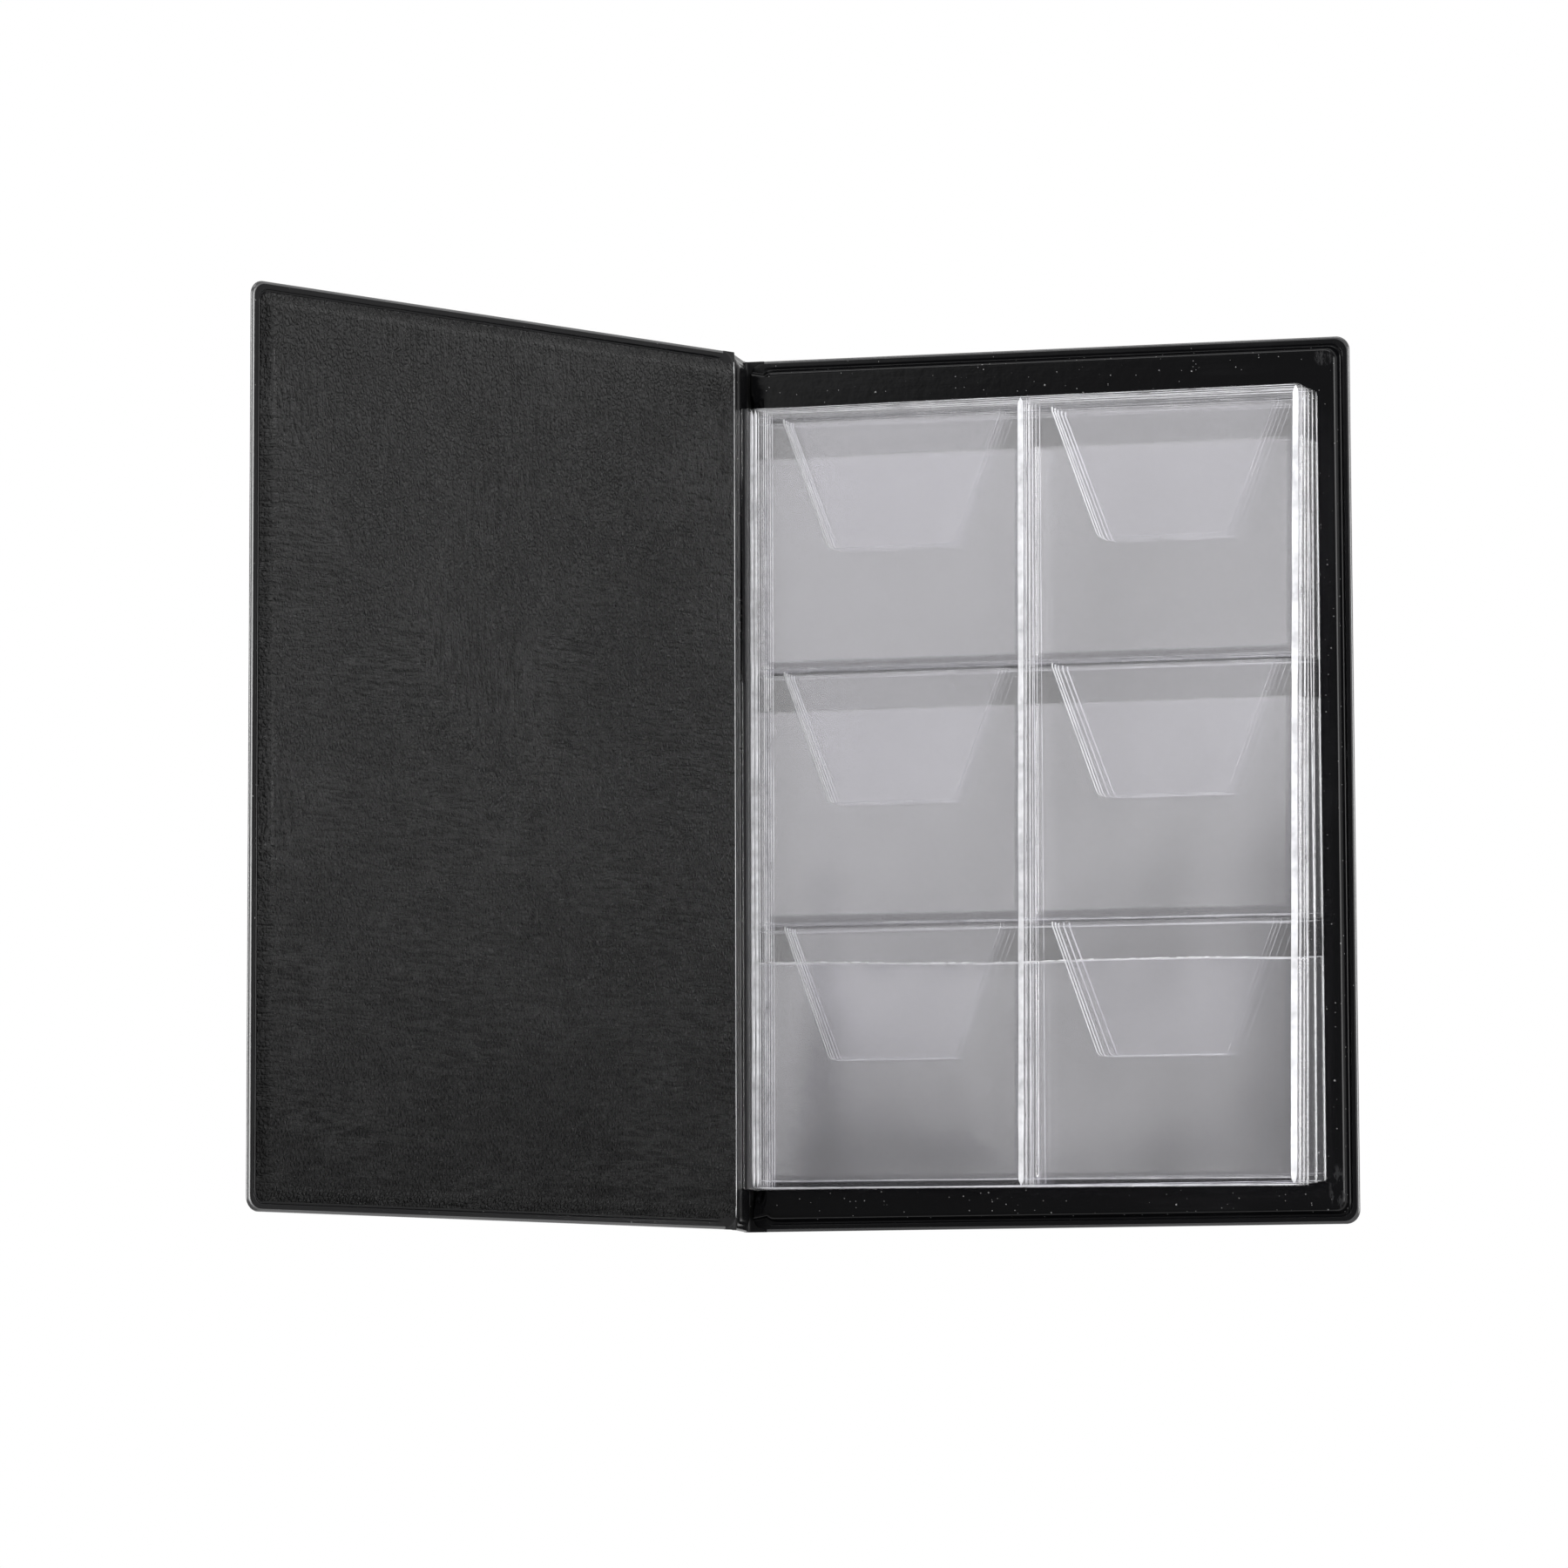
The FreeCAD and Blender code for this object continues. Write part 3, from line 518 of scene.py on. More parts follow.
def panel(prefix, put, width, height, top_height, wrinkles, step, lining_mat, body, slope=(2.05, 3.0), groove_scale=1.0, rim_mat="rim", radius=CORNER, edge=EDGE_STEPS, clear=None):
    xs, ys = axis_steps(width, step, edge), axis_steps(height, step, edge) - height / 2
    bend = round_corners(width, height, radius)

    def shoulder(X, Y):
        return fold_side(X, Y, clear, 1.6 if slope[1] < 4 else 14.0) if clear else None

    def top(X, Y):
        return lining_profile(inset(X, Y, width, height), top_height, slope=slope, grooved=smoothstep(2.4, 6.0, X), rise_d=shoulder(X, Y)) + (wrinkles(X, Y) if wrinkles else 0)

    def bottom(X, Y):
        d = inset(X, Y, width, height)
        return np.maximum(0.455, lining_profile(d, top_height, slope=slope, rise_d=shoulder(X, Y)) - 0.42 * smoothstep(0.0, 3.0, d) - 0.03)

    o, (X, Y) = sheet_solid(prefix + "_lining_vinyl", xs, ys, top, bottom, put, bend)
    dress(o, lining_mat)
    o.data.materials.append(MAT[rim_mat])
    o.data.materials.append(MAT["lip"])
    # the welded rim shines more than the field
    n, m = X.shape
    XM, YM = (X[:-1, :-1] + X[1:, 1:]) / 2, (Y[:-1, :-1] + Y[1:, 1:]) / 2
    D = np.maximum(inset(XM, YM, width, height), np.where(XM < 4, shoulder(XM, YM), 0) if clear else 0)
    if prefix == "front_cover":
        D = np.where(XM < 4, np.minimum(shoulder(XM, YM), D), D)
    marks = np.where(D.reshape(-1) < 2.0, 1, 0)
    # the outer lip away from the fold takes the lip finish, whose lighter colour is a painted highlight
    if clear:
        marks = np.where((inset(XM, YM, width, height).reshape(-1) < 0.5) & (XM.reshape(-1) > 3.0), 2, marks)
    total = len(o.data.polygons)
    full = np.ones(total, np.int32)
    full[: marks.size] = marks
    full[marks.size: 2 * marks.size] = 0
    o.data.polygons.foreach_set("material_index", full)
    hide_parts(prefix + "_lining")
    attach(o, body)

    def outer(X, Y):
        d = inset(X, Y, width, height)
        lip = 0.24 * (1 - np.sqrt(np.clip(1 - (1 - np.clip(d / 0.35, 0, 1)) ** 2, 0, 1)))
        rim = 0.13 * (1 - smoothstep(2.2, 4.6, d))
        groove = 0.10 * smoothstep(1.4, 1.75, d) * (1 - smoothstep(1.85, 2.2, d))
        grain = 0.012 * value_noise(X, Y, 11, 1.1, 1.3) + 0.012 * value_noise(X, Y, 12, 2.3, 1.9)
        return np.maximum(0.0, lip + rim + groove * groove_scale + (grain + 0.012) * smoothstep(2.0, 4.0, d))

    s, _ = sheet_solid(prefix + "_skin_vinyl", xs, ys, lambda X, Y: 0.448 + 0 * X, outer, put, bend)
    dress(s, "outside")
    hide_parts(prefix + "_skin")
    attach(s, body)
    return o, s


panel("front_cover", on_front, COVER_W, COVER_H, 2.40, front_wrinkles, 0.62, "front_inside", "front_cover", slope=(2.1, 5.0), clear=lambda Y: 1 + 0 * Y)
panel("back_cover", on_back, COVER_W, COVER_H, 2.40, lambda X, Y: 0.03 * value_noise(X, Y, 8, 30, 30) * smoothstep(3, 8, inset(X, Y, COVER_W, COVER_H)), 1.5, "back_inside", "back_cover",
      clear=lambda Y: np.maximum(smoothstep(79.8, 81.4, Y), smoothstep(-82.6, -84.4, Y)))
SPINE_EDGE = [0, 0.04, 0.10, 0.18, 0.30, 0.55, 0.8, 1.0, 1.2, 1.45, 1.7, 2.0, 2.4, 2.9]
panel("spine", on_spine, 11.2, COVER_H, 1.62, lambda X, Y: 0.02 * value_noise(X, Y, 9, 4, 9), 1.5, "spine_inside", "spine", slope=(0.8, 2.4), groove_scale=0.0, radius=0.9, edge=SPINE_EDGE)


def fold_crest():
    """The polished ridge where the front lining turns down into the fold; its near-white colour is a painted highlight.
    """
    ys = np.linspace(-87.6, 87.6, 221)
    r = 0.13 * (1 + 0.08 * value_noise(ys, 0 * ys, 401, 9.0, 1.0)) * np.sqrt(np.clip((87.9 - np.abs(ys)) / 4.0, 0.02, 1))
    V, F, m = [], [], 8
    for y, q in zip(ys, r):
        for j in range(m):
            a = 2 * math.pi * j / m
            x, yy, z = on_front(1.19 + q * math.cos(a), y, 2.11 + q * math.sin(a))
            V.append((x * MM, yy * MM, z * MM))
    for i in range(len(ys) - 1):
        for j in range(m):
            a, b = i * m + j, i * m + (j + 1) % m
            F.append((a, b, b + m, a + m))
    F.append(tuple(range(m)))
    F.append(tuple((len(ys) - 1) * m + j for j in reversed(range(m))))
    o = mesh_object("front_cover_fold_crest_painted_highlight", V, F)
    # the crest's near-white colour is a painted highlight
    dress(o, "crease")
    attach(o, "front_cover")


fold_crest()


# ------------------------------------------------------------------ folds between the panels
def fold_band(name, path, half_width_y, thick, mat="outside"):
    """A band of vinyl that follows a path in the XZ plane and runs the album's full height, as one closed solid with round edges."""
    P = np.array(path, float)
    # resample smoothly with a Catmull-Rom curve
    pts = []
    ext = np.vstack([2 * P[0] - P[1], P, 2 * P[-1] - P[-2]])
    for i in range(1, len(ext) - 2):
        for t in np.linspace(0, 1, 7)[:-1]:
            a, b, c, d = ext[i - 1], ext[i], ext[i + 1], ext[i + 2]
            pts.append(0.5 * ((2 * b) + (-a + c) * t + (2 * a - 5 * b + 4 * c - d) * t * t + (-a + 3 * b - 3 * c + d) * t ** 3))
    pts.append(P[-1])
    pts = np.array(pts)
    tan = np.gradient(pts, axis=0)
    tan /= np.linalg.norm(tan, axis=1)[:, None]
    nor = np.stack([-tan[:, 1], tan[:, 0]], 1)
    n = len(pts)
    taper = np.ones(n)
    k = np.arange(n)
    e = np.minimum(k, n - 1 - k)
    taper = np.sqrt(np.clip(1 - (1 - np.clip((e + 0.35) / 3.0, 0, 1)) ** 2, 0.02, 1))
    ring = np.vstack([pts + nor * (thick / 2 * taper)[:, None], (pts - nor * (thick / 2 * taper)[:, None])[::-1]])
    ys = np.concatenate([[-half_width_y + v for v in (0, 0.06, 0.2, 0.5, 1.2)], np.linspace(-half_width_y + 3, half_width_y - 3, 60), [half_width_y - v for v in (1.2, 0.5, 0.2, 0.06, 0)]])
    centre = np.vstack([pts, pts[::-1]])
    V, F = [], []
    m = len(ring)
    for j, y in enumerate(ys):
        edge = min(half_width_y - abs(y), 0.4) / 0.4
        shrink = 0.80 + 0.20 * math.sqrt(max(0.0, 1 - (1 - edge) ** 2))
        sec = centre + (ring - centre) * shrink
        wob = 0.015 * value_noise(np.full(m, y), np.arange(m), 21, 6.0, 5.0)
        for (x, z), w in zip(sec, wob):
            V.append(((x + w) * MM, y * MM, max(z, 0.0) * MM))
    for j in range(len(ys) - 1):
        for i in range(m):
            a, b = j * m + i, j * m + (i + 1) % m
            F.append((a, b, b + m, a + m))
    # end caps as strips across the section
    for base in (0, (len(ys) - 1) * m):
        for i in range(n - 1):
            F.append((base + i, base + i + 1, base + m - 2 - i, base + m - 1 - i))
    o = mesh_object(name, V, F)
    dress(o, mat)
    o.data.materials.append(MAT["fold_inside"])
    idx = np.zeros(len(o.data.polygons), np.int32)
    ring_faces = (len(ys) - 1) * m
    idx[:] = 1
    idx[:ring_faces] = np.where(np.arange(ring_faces) % m >= n, 1, 0)
    o.data.polygons.foreach_set("material_index", idx)
    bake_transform(o)
    return o


def fp(x, z):
    a = on_front(x, 0.0, z)
    return (a[0], a[2])


fold_band("spine_fold_foot", [(-59.6, 0.41), (-60.4, 0.41), (-61.2, 0.41), (-62.0, 0.41), (-62.6, 0.41), (-63.15, 0.45), (-63.62, 0.66), (-63.82, 1.02), (-63.83, 1.5), (-63.83, 2.1)],
          90.0, 0.80)
fold_band("spine_fold_head", [(-63.83, 10.9), (-63.83, 11.5), (-63.82, 12.05), (-63.60, 12.50), fp(0.0, 0.41), fp(0.5, 0.41), fp(1.2, 0.41), fp(2.0, 0.41), fp(2.9, 0.41)],
          90.0, 0.78)

# ------------------------------------------------------------------ leaves
LEAN = {1: 6.0, 2: 5.3, 3: 4.6, 4: 2.6, 5: 0.0}
SKEW = {1: 0.78, 2: 0.74, 3: 0.70, 4: 0.35, 5: 0.0}     # degrees that the bound leaf sits askew in its own plane
FOOT, HEAD, REACH, ROOT = -81.6, 78.8, 116.2, 1.27
ROWS = ("top", "middle", "bottom")
COLS = ("left", "right")
LEFT_W, MID_W, RIGHT_W = (0.42, 2.77), (57.5, 60.6), (114.1, 116.2)


def crease(k):
    a = math.radians(LEAN[k])
    x0, z0 = HINGE_EDGE + 0.83 + 0.10 * (k - 1), 2.75 + 1.5 * (5 - k)
    return x0 + ROOT * math.cos(a), z0 + ROOT * math.sin(a)


def seam(row):
    return FOOT + 0.5 + 52.3 * (3 - row)


def sway(k, S_, Y_):
    """How far the film of leaf k stands off its flat plane, mm. Nearly the same on every leaf, so that they nest."""
    a = smoothstep(4, 50, S_)
    w = (0.22 * value_noise(S_, Y_, 31, 46, 40) + 0.07 * value_noise(S_, Y_, 32, 24, 28)) * a
    w += 0.05 * value_noise(S_, Y_, 33 + k, 36, 40)
    if k < 5:
        w -= 0.18 * np.exp(-((S_ - 10.5) / 6.5) ** 2) * smoothstep(1.5, 6.0, S_)
    w += 0.30 * smoothstep(88, 118, S_) * (0.6 + 0.4 * np.cos((Y_ + 70) / 90.0))
    over = 0.37 * smoothstep(-0.1, -1.15, S_) + 0.11 * np.clip(-1.15 - S_, 0, 1) if k == 1 else 0
    return w + 0.12 * a + over


def on_leaf(k):
    a = math.radians(LEAN[k])
    ca, sa = math.cos(a), math.sin(a)
    cx, cz = crease(k)
    t = math.tan(math.radians(SKEW[k]))

    def f(S_, Y_, N_):
        fade = smoothstep(0.0, 6.0, S_)
        y = Y_ - np.maximum(S_, 0) * t * fade
        s = S_ + np.maximum(S_, 0) / REACH * (Y_ + 1.4) * t * fade
        n = N_ + sway(k, S_, Y_)
        return cx + s * ca - n * sa, y, cz + s * sa + n * ca
    return f


def set_weld(o, mask, sides=2):
    m = np.tile(np.clip(mask, -1, 1).reshape(-1), sides).astype(np.float32)
    at = o.data.attributes.new("weld", "FLOAT", "POINT")
    at.data.foreach_set("value", m)


def band(v, lo, hi, soft=0.12):
    return smoothstep(lo - soft, lo + soft, v) * (1 - smoothstep(hi - soft, hi + soft, v))


def upright_welds(S_):
    return np.maximum.reduce([band(S_, -2.5, 2.77), band(S_, *MID_W), band(S_, *RIGHT_W, 0.12)])


def weld_mask(S_, Y_):
    """+1 on the upright welds, which are cloudy; -1 on the level seams, which are pressed flat and clear."""
    m = upright_welds(S_)
    for r in range(0, 4):
        m = m - 1.0 * band(Y_, seam(r) - 0.3, seam(r) + 1.2) * (1 - upright_welds(S_))
    return m


def backing(k):
    cuts = [-1.27, -1.1, -0.8, -0.5, -0.3, -0.15, 0, 0.15, 0.3, 0.5, 0.8, 1.2, 1.8, 2.6, 2.9, 3.5, 5, 57.3, 57.6, 60.5, 60.8, 113.9, 114.2, 115.0, 115.7, 116.05, 116.2]
    if k == 1:
        cuts = [-1.95, -1.85, -1.6, -1.4] + cuts
    xs = merged(cuts + list(np.arange(5, 114, 2.2)), 0.1)
    ys = merged([FOOT, FOOT + 0.15, FOOT + 0.5, HEAD - 0.5, HEAD - 0.15, HEAD] + [seam(r) + e for r in range(4) for e in (-0.6, -0.4, 1.2, 1.4) if seam(r) + e > FOOT + 0.6] + list(np.arange(FOOT + 1.5, HEAD - 1, 2.2)), 0.1)

    def corners(X, Y):
        # the two free corners are cut round
        r = 1.2
        yc = (FOOT + HEAD) / 2
        hy = (HEAD - FOOT) / 2
        ax, ay = X, np.abs(Y - yc)
        dx, dy = REACH - ax, hy - ay
        inside = (dx < r) & (dy < r)
        px, py = r - dx, r - dy
        big = np.maximum(px, py)
        norm = np.sqrt(px ** 2 + py ** 2)
        sc = np.where(inside & (norm > 1e-9), big / np.maximum(norm, 1e-9), 1)
        nx = np.where(inside, REACH - r + px * sc, X)
        ny = np.where(inside, yc + np.sign(Y - yc) * (hy - r + py * sc), Y)
        return nx, ny

    put = on_leaf(k)
    o, (X, Y) = sheet_solid("leaf_%d_backing" % k, xs, ys, lambda X, Y: 0.07 + 0 * X, lambda X, Y: -0.07 + 0 * X, put, corners)
    set_weld(o, weld_mask(X, Y))
    dress(o, "film")
    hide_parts("leaf_%d_film" % k, "leaf_%d_root" % k)
    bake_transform(o)
    return o


def mouth_line(k, r, X):
    """How far the cut mouth edge of a strip wanders from its straight line, mm."""
    w = 0.04 * value_noise(X, X * 0, 70 + 3 * k + r, 16.0, 50.0) + 0.02 * value_noise(X, X * 0, 80 + 3 * k + r, 3.4, 50.0)
    if r == 2:
        w = w + 0.85 * smoothstep(50.0, 4.0, X) + 0.30 * band(X, 66.0, 104.0, 8.0)
    return w


def strip(k, r):
    low = (seam(r + 1) + 0.25) if r < 2 else FOOT + 0.1
    mouth = seam(r) - 7.6
    weld_to = low + 1.3
    cuts = [0.42, 0.6, 1.6, 2.6] + [v for a, w in ((2.77, 1), (57.5, -1), (60.6, 1), (114.1, -1)) for v in [a + w * q for q in (0, 0.17, 0.34, 0.5, 0.66, 0.83, 1.0, 1.3)]] + [59, 115.2, 116.2]
    xs = merged(cuts + list(np.arange(4.6, 56, 1.3)) + list(np.arange(62.6, 112.8, 1.3)), 0.1)
    ys = merged([low, low + 0.15, weld_to - 0.2, weld_to, weld_to + 0.2, weld_to + 0.4, weld_to + 0.6, weld_to + 0.8, weld_to + 1.0, weld_to + 1.5, weld_to + 2.3, weld_to + 3.6, mouth - 2.5, mouth - 1.2, mouth - 0.6, mouth - 0.25, mouth - 0.08, mouth] + list(np.arange(weld_to + 5, mouth - 3, 1.8)), 0.05)

    def lift(X, Y):
        side = np.minimum(np.where(X < 59, X - LEFT_W[1], X - MID_W[1]), np.where(X < 59, MID_W[0] - X, RIGHT_W[0] - X))
        e = np.minimum(side, Y - weld_to)
        rise = smoothstep(0.0, 1.0, side) * smoothstep(0.0, 1.0, Y - weld_to)
        puff = 0.10 * smoothstep(0, 12, e) * (0.6 + 0.4 * value_noise(X, Y, 50 + 7 * k + r, 18, 16))
        lip = 0.03 * smoothstep(3.0, 0.0, mouth - Y) * (1 + value_noise(X, Y, 60 + 5 * k + r, 7.1, 40.0)) * rise
        return 0.085 + (0.235 + puff) * rise + lip

    def wavy(X, Y):
        # the cut mouth edge wanders a little
        near_mouth = smoothstep(4.0, 0.0, mouth - Y)
        return X, Y + mouth_line(k, r, X) * near_mouth

    o, (X, Y) = sheet_solid("leaf_%d_pocket_front_%s" % (k, ROWS[r]), xs, ys, lambda X, Y: lift(X, Y) + 0.09, lift, on_leaf(k), wavy)
    m = upright_welds(X) - band(Y, low - 1, weld_to) * (1 - upright_welds(X))
    set_weld(o, m)
    dress(o, "film")
    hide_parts("leaf_%d_strip_%s" % (k, ROWS[r]))
    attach(o, "leaf_%d" % k)
    return o, lift, mouth


def flap_mesh(name, k, r, c):
    """Tapered tongue with round tip corners and a slightly curled tip."""
    mid = (LEFT_W[1] + MID_W[0]) / 2 if c == 0 else (MID_W[1] + RIGHT_W[0]) / 2
    y0 = seam(r) - 0.35
    long, top_w, foot_w, rad = 26.4, 46.5, 27.0, 1.0
    us = merged([-1, -0.985, -0.965, -0.93, -0.88, 0.88, 0.93, 0.965, 0.985, 0.995, 1] + list(np.linspace(-0.8, 0.8, 25)), 0.002)
    vs = merged([-0.8, -0.4, 0, 0.4, 0.8, 1.2, 1.6, 2.0, 2.6, 3.4] + list(np.linspace(4.5, long - 2.5, 14)) + [long - v for v in (1.9, 1.4, 1.0, 0.65, 0.35, 0.12, 0)], 0.05)
    U, Vv = np.meshgrid(us, vs, indexing="ij")
    half = np.where(Vv < 0, top_w / 2, top_w / 2 + (foot_w - top_w) / 2 * Vv / long)
    # round tip
    q = np.clip((Vv - (long - rad)) / rad, 0, 1)
    half = half - rad * (1.0 - np.sqrt(np.clip(1 - q ** 2, 0, 1))) * 0.9
    X = mid + U * half
    Y = y0 - Vv
    side = (1 - np.abs(U)) * half
    curl = 0.012 * smoothstep(0.8, 0.0, long - Vv)
    bow = 0.03 * value_noise(X, Y, 90 + 11 * k + 3 * r + c, 14, 12)
    zb = 0.150 + curl + np.maximum(bow, -0.02) * smoothstep(0, 4, Vv)
    put = on_leaf(k)
    A = np.stack(put(X, Y, zb + 0.08), -1).reshape(-1, 3)
    B = np.stack(put(X, Y, zb), -1).reshape(-1, 3)
    n, m = X.shape
    idx = np.arange(n * m).reshape(n, m)
    qd = np.stack([idx[:-1, :-1], idx[1:, :-1], idx[1:, 1:], idx[:-1, 1:]], -1).reshape(-1, 4)
    rim = np.concatenate([idx[:, 0], idx[-1, 1:], idx[-2::-1, -1], idx[0, -2:0:-1]])
    X_STEPS_OF_FLAP[0] = m
    nx = np.roll(rim, -1)
    F = np.concatenate([qd, qd[:, ::-1] + n * m, np.stack([rim, rim + n * m, nx + n * m, nx], -1)])
    V = np.concatenate([A, B]) * MM
    # mark the cut edge: the left side edges take the whiter edge finish, a painted highlight, and the right side edges
    # and the tip take the dim one
    edge_quads = np.where(U[1:, 1:] < -0.983, 1, np.where((U[:-1, :-1] > 0.992) | (Vv[:-1, :-1] > long - 0.14), 2, 0))
    return V, F, edge_quads.reshape(-1), X, Y, y0, mid


X_STEPS_OF_FLAP = [2]     # points down the side of a flap, set by flap_mesh


def flap_object(name, parts):
    V, F, E, W = [], [], [], []
    base = 0
    for v, f, e in parts:
        V.append(v); F.append(f + base); base += len(v)
        marks = np.zeros(len(f), np.int32)
        marks[: len(e)] = e
        marks[len(e): 2 * len(e)] = e
        marks[2 * len(e):] = 2
        marks[-(X_STEPS_OF_FLAP[0] - 2):] = 1
        E.append(marks)
    o = mesh_object(name, np.concatenate(V).tolist(), np.concatenate(F).tolist())
    at = o.data.attributes.new("weld", "FLOAT", "POINT")
    at.data.foreach_set("value", np.full(len(o.data.vertices), -0.35, np.float32))
    dress(o, "film")
    o.data.materials.append(MAT["edge"])
    o.data.materials.append(MAT["bead_dim"])
    o.data.polygons.foreach_set("material_index", np.concatenate(E).astype(np.int32))
    return o


def bead_run(points, width, height, k, base, seed, rough_amp=0.06):
    """A half-round ridge along a straight run on leaf k, wandering a little in height and place."""
    (s0, y0), (s1, y1) = points
    length = math.hypot(s1 - s0, y1 - y0)
    n = max(6, int(length / 0.9))
    t = np.linspace(0, 1, n + 1)
    S_, Y_ = s0 + (s1 - s0) * t, y0 + (y1 - y0) * t
    dx, dy = (s1 - s0) / length, (y1 - y0) / length
    wob = 0.014 * value_noise(t * length, 0 * t, seed, 14.0, 1.0)
    h = height * (1 + rough_amp * value_noise(t * length, 0 * t, seed + 2, 6.0, 1.0))
    w = width * (1 + 0.08 * value_noise(t * length, 0 * t, seed + 3, 7.0, 1.0))
    prof = [(-0.5, 0.0), (-0.42, 0.45), (-0.22, 0.85), (0.0, 1.0), (0.22, 0.85), (0.42, 0.45), (0.5, 0.0)]
    V, F = [], []
    put = on_leaf(k)
    m = len(prof)
    for i in range(n + 1):
        fade = min(1.0, (min(i, n - i) + 0.25) / 1.5)
        for a, b in prof:
            off = a * w[i] * fade + wob[i]
            x, y, z = put(S_[i] - dy * off, Y_[i] + dx * off, base + h[i] * b * fade)
            V.append((float(x) * MM, float(y) * MM, float(z) * MM))
    for i in range(n):
        for j in range(m):
            a, b = i * m + j, i * m + (j + 1) % m
            F.append((a, b, b + m, a + m))
    F.append(tuple(range(m)))
    F.append(tuple(reversed(range(n * m, n * m + m))))
    return V, F


def welds(k):
    runs = []
    first = ((0.14, 0.74, 0.11), (0.96, 0.68, 0.11), (1.60, 0.14, 0.06), (2.72, 0.14, 0.05), (57.62, 1.20, 0.12), (58.90, 0.17, 0.07), (59.6, 0.15, 0.06), (114.7, 1.30, 0.12), (115.98, 0.16, 0.08))
    under = ((0.76, 0.12, 0.05), (2.62, 0.26, 0.08), (57.35, 0.26, 0.09), (58.90, 0.15, 0.06), (114.3, 0.20, 0.08), (115.98, 0.16, 0.07))
    for s, w, h in first if k == 1 else under:
        runs.append(((s, FOOT + 0.4), (s, HEAD - 0.4), w, h, 0.165))
    for r in range(4):
        y = seam(r)
        for e, w, h in ((-0.35, 0.16, 0.06), (1.15, 0.16, 0.06)):
            if FOOT + 0.2 < y + e < HEAD - 0.2:
                runs.append(((0.8, y + e), (115.6, y + e), w, h, 0.17))
    for y in (FOOT + 0.22, HEAD - 0.22):
        runs.append(((0.5, y), (115.2, y), 0.15, 0.06, 0.07))
    V, F, base = [], [], 0
    kinds = []
    for i, (a, b, w, h, z) in enumerate(runs):
        v, f = bead_run((a, b), w, h, k, z, 200 + 20 * k + i)
        # wide upright runs take the whitest finish, and the other upright runs and the head and foot edges take the
        # middle one, as painted highlights; the level seams take the dim one
        kinds += [2 if w > 0.4 else 0 if a[0] == b[0] or min(a[1] - FOOT, HEAD - a[1]) < 0.4 else 1] * len(f)
        V += v
        F += [tuple(q + base for q in face) for face in f]
        base += len(v)
    o = mesh_object("leaf_%d_weld_ridges" % k, V, F)
    dress(o, "bead")
    o.data.materials.append(MAT["bead_dim"])
    o.data.materials.append(MAT["bead_painted_highlight"])
    o.data.polygons.foreach_set("material_index", np.array(kinds, np.int32))
    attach(o, "leaf_%d" % k)


def mouth_edges(k, info):
    """The cut upper edge of each front strip, as a fine ridge that follows the strip."""
    V, F, base, kinds = [], [], 0, []
    for r, (lift, mouth) in enumerate(info):
        n = 480 if r == 2 and k == 1 else 170
        s = np.linspace(0.6, 116.0, n)
        X, Y = s, np.full(n, mouth)
        w = mouth_line(k, r, X)
        z = lift(X, Y) + 0.045
        size = (0.022, 0.022, 0.05)[r] * (1 + 0.3 * value_noise(s, 0 * s, 300 + 9 * k + r, 1.1, 1.0))
        if r == 2 and k == 1:
            # a torn-looking cut: short clots of film along the edge
            size = 0.035 + 0.13 * smoothstep(-0.15, 0.75, value_noise(s, 0 * s, 331, 0.75, 1.0) + 0.35 * value_noise(s, 0 * s, 332, 9.0, 1.0))
        put = on_leaf(k)
        m = 6
        for i in range(n):
            for j in range(m):
                a = 2 * math.pi * j / m
                x, y, zz = put(X[i], Y[i] + w[i] + size[i] * math.cos(a), z[i] + size[i] * 0.8 * math.sin(a))
                V.append((float(x) * MM, float(y) * MM, float(zz) * MM))
        for i in range(n - 1):
            for j in range(m):
                a, b = base + i * m + j, base + i * m + (j + 1) % m
                F.append((a, b, b + m, a + m))
        F.append(tuple(base + j for j in range(m)))
        F.append(tuple(base + (n - 1) * m + j for j in reversed(range(m))))
        # the bottom row's cut edge takes the whiter edge finish, a painted highlight; the upper rows take the dim one
        kinds += [1 if r < 2 else 0] * (len(F) - len(kinds))
        base += n * m
    o = mesh_object("leaf_%d_mouth_edges" % k, V, F)
    dress(o, "edge")
    o.data.materials.append(MAT["bead_dim"])
    o.data.polygons.foreach_set("material_index", np.array(kinds, np.int32))
    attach(o, "leaf_%d" % k)


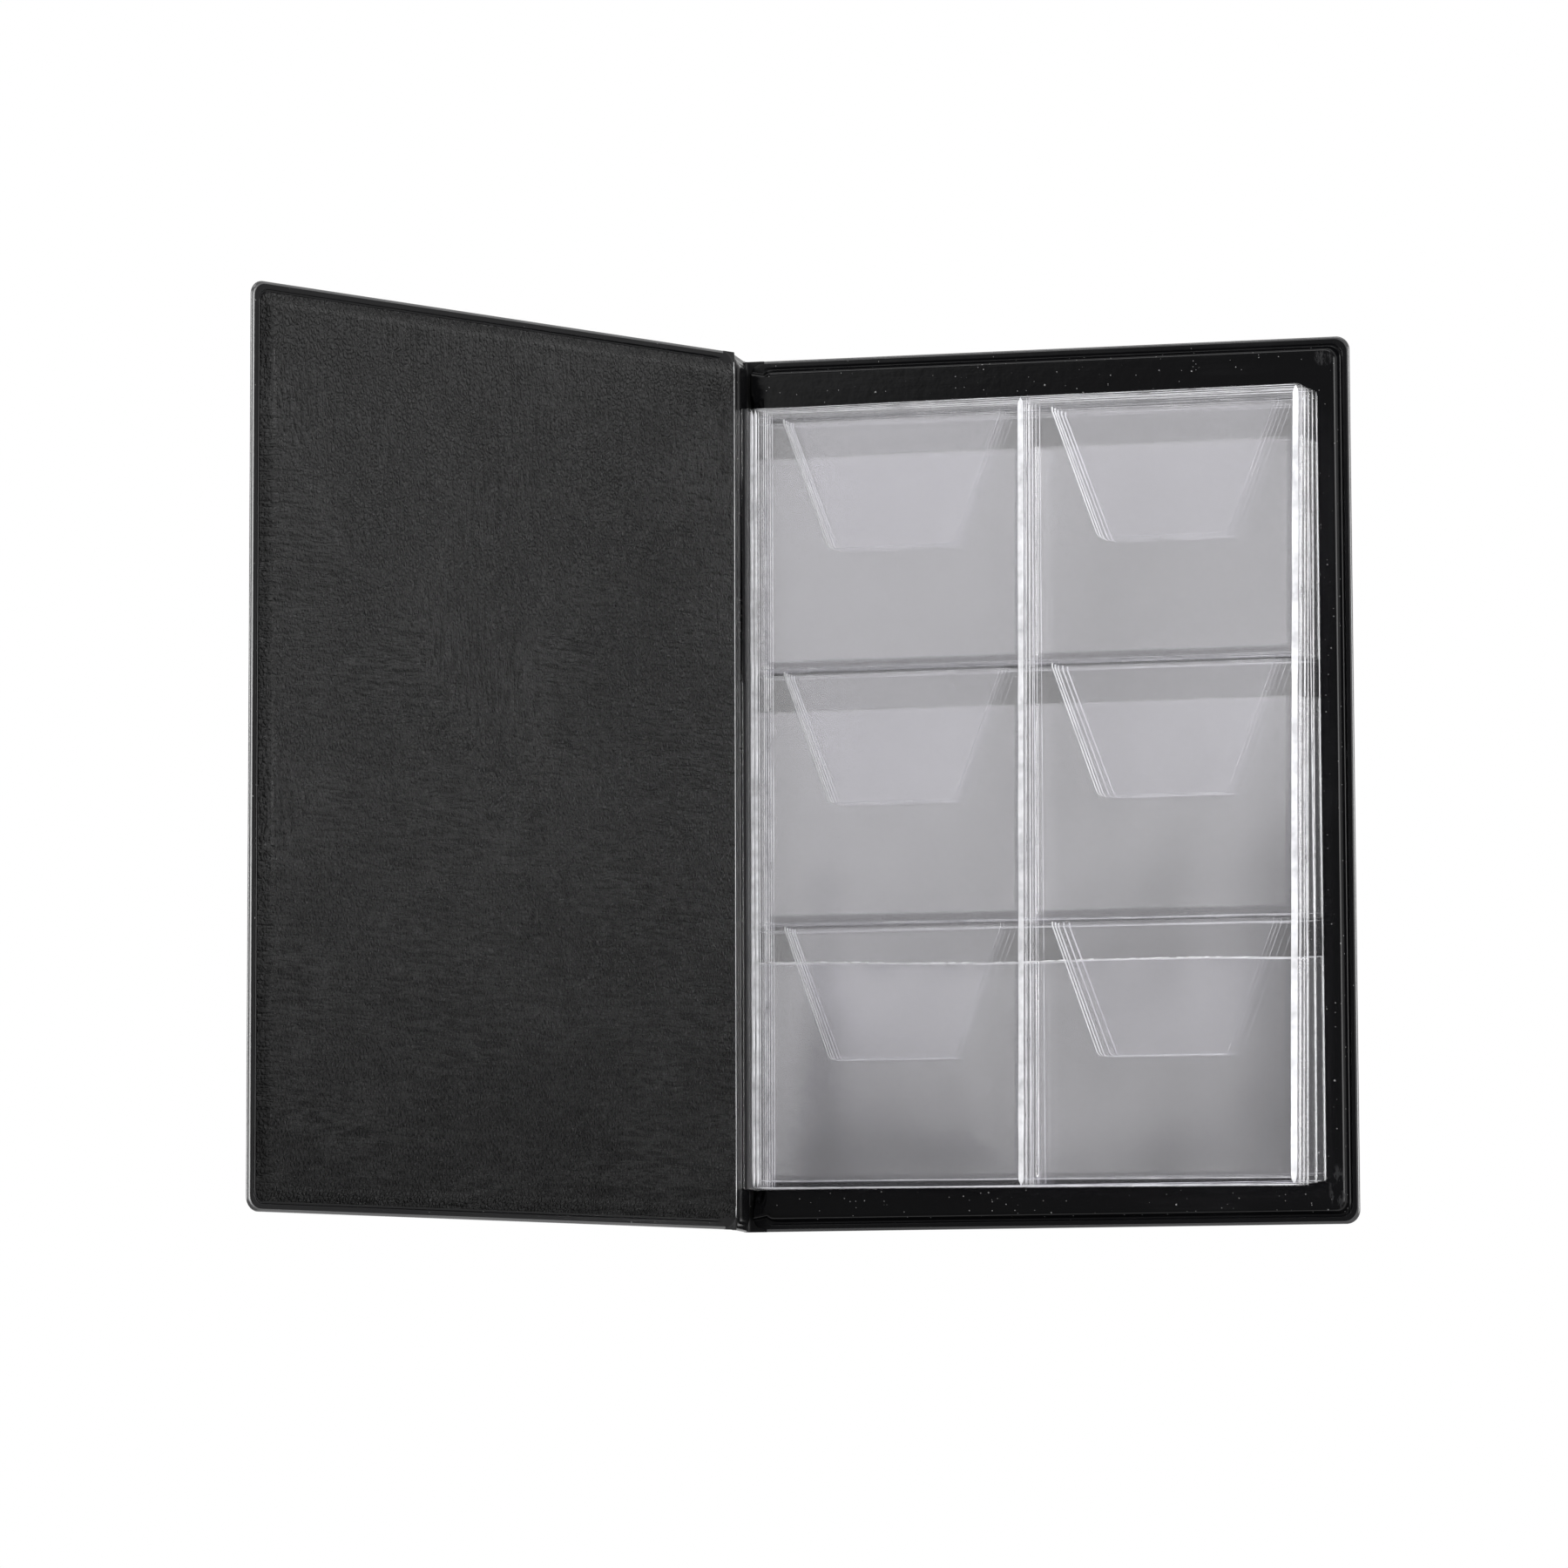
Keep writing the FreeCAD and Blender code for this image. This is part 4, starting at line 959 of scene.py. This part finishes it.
for k in range(1, 6):
    backing(k)
    info = []
    for r in range(3):
        o, lift, mouth = strip(k, r)
        info.append((lift, mouth))
    welds(k)
    mouth_edges(k, info)
    if k == 1:
        for r in range(3):
            for c in range(2):
                name = "leaf_1_flap_%s_%s" % (ROWS[r], COLS[c])
                V, F, E, X, Y, y0, mid = flap_mesh(name, k, r, c)
                o = flap_object("pocket_flap_%s_%s" % (ROWS[r], COLS[c]), [(V, F, E)])
                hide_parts(name)
                put = on_leaf(k)
                p0, p1 = put(np.array(mid), np.array(y0 + 0.3), np.array(0.2)), put(np.array(mid), np.array(y0 - 2.4), np.array(0.2))
                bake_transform(o)
    else:
        parts = []
        for r in range(3):
            for c in range(2):
                V, F, E, *_ = flap_mesh("", k, r, c)
                parts.append((V, F, E))
        o = flap_object("leaf_%d_pocket_flaps" % k, parts)
        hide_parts("leaf_%d_flaps" % k)
        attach(o, "leaf_%d" % k)

# ------------------------------------------------------------------ floor, light, world
bpy.ops.mesh.primitive_plane_add(size=6.0, location=(0, 0, -0.0003))
floor = bpy.context.object
floor.name = "floor"
g = Graph("floor_white")
glow = g.nt.nodes.new("ShaderNodeEmission")
glow.inputs[0].default_value = (1, 1, 1, 1)
glow.inputs[1].default_value = 1.0
floor.data.materials.append(g.finish(glow.outputs[0]))

world = bpy.data.worlds.new("studio")
scene.world = world
world.use_nodes = True
wn = world.node_tree
wn.nodes.clear()
wo = wn.nodes.new("ShaderNodeOutputWorld")
bg = wn.nodes.new("ShaderNodeBackground")
bg.inputs[0].default_value = (1, 1, 1, 1)
bg.inputs[1].default_value = 0.22
wn.links.new(bg.outputs[0], wo.inputs[0])


def softbox(name, at, aim, size, power, size_y=None):
    d = bpy.data.lights.new(name, "AREA")
    d.shape = "RECTANGLE"
    d.size, d.size_y = size, size_y or size
    d.energy = power
    o = link(bpy.data.objects.new(name, d))
    o.location = at
    o.rotation_euler = (Vector(aim) - Vector(at)).to_track_quat("-Z", "Y").to_euler()
    return o


softbox("box_right", (1.45, 0.15, 0.95), (0, 0, 0.03), 1.0, 30.0, 1.4)
softbox("box_left", (-1.40, 0.15, 1.00), (0, 0, 0.03), 1.4, 26.0, 0.6)
softbox("box_head", (0.0, 1.80, 1.00), (0, 0.05, 0.02), 1.6, 14.0, 0.7)
softbox("panel_over", (-0.95, 0.60, 1.70), (-0.02, 0.0, 0.01), 0.85, 3.3, 1.1)

scene.view_settings.view_transform = "Standard"
scene.view_settings.look = "None"
scene.view_settings.exposure = 0.0
scene.view_settings.gamma = 1.0
try:
    scene.cycles.transparent_max_bounces = 64
    scene.cycles.max_bounces = 12
    scene.cycles.glossy_bounces = 4
    scene.cycles.diffuse_bounces = 3
    scene.cycles.caustics_reflective = False
    scene.cycles.caustics_refractive = False
except Exception:
    pass
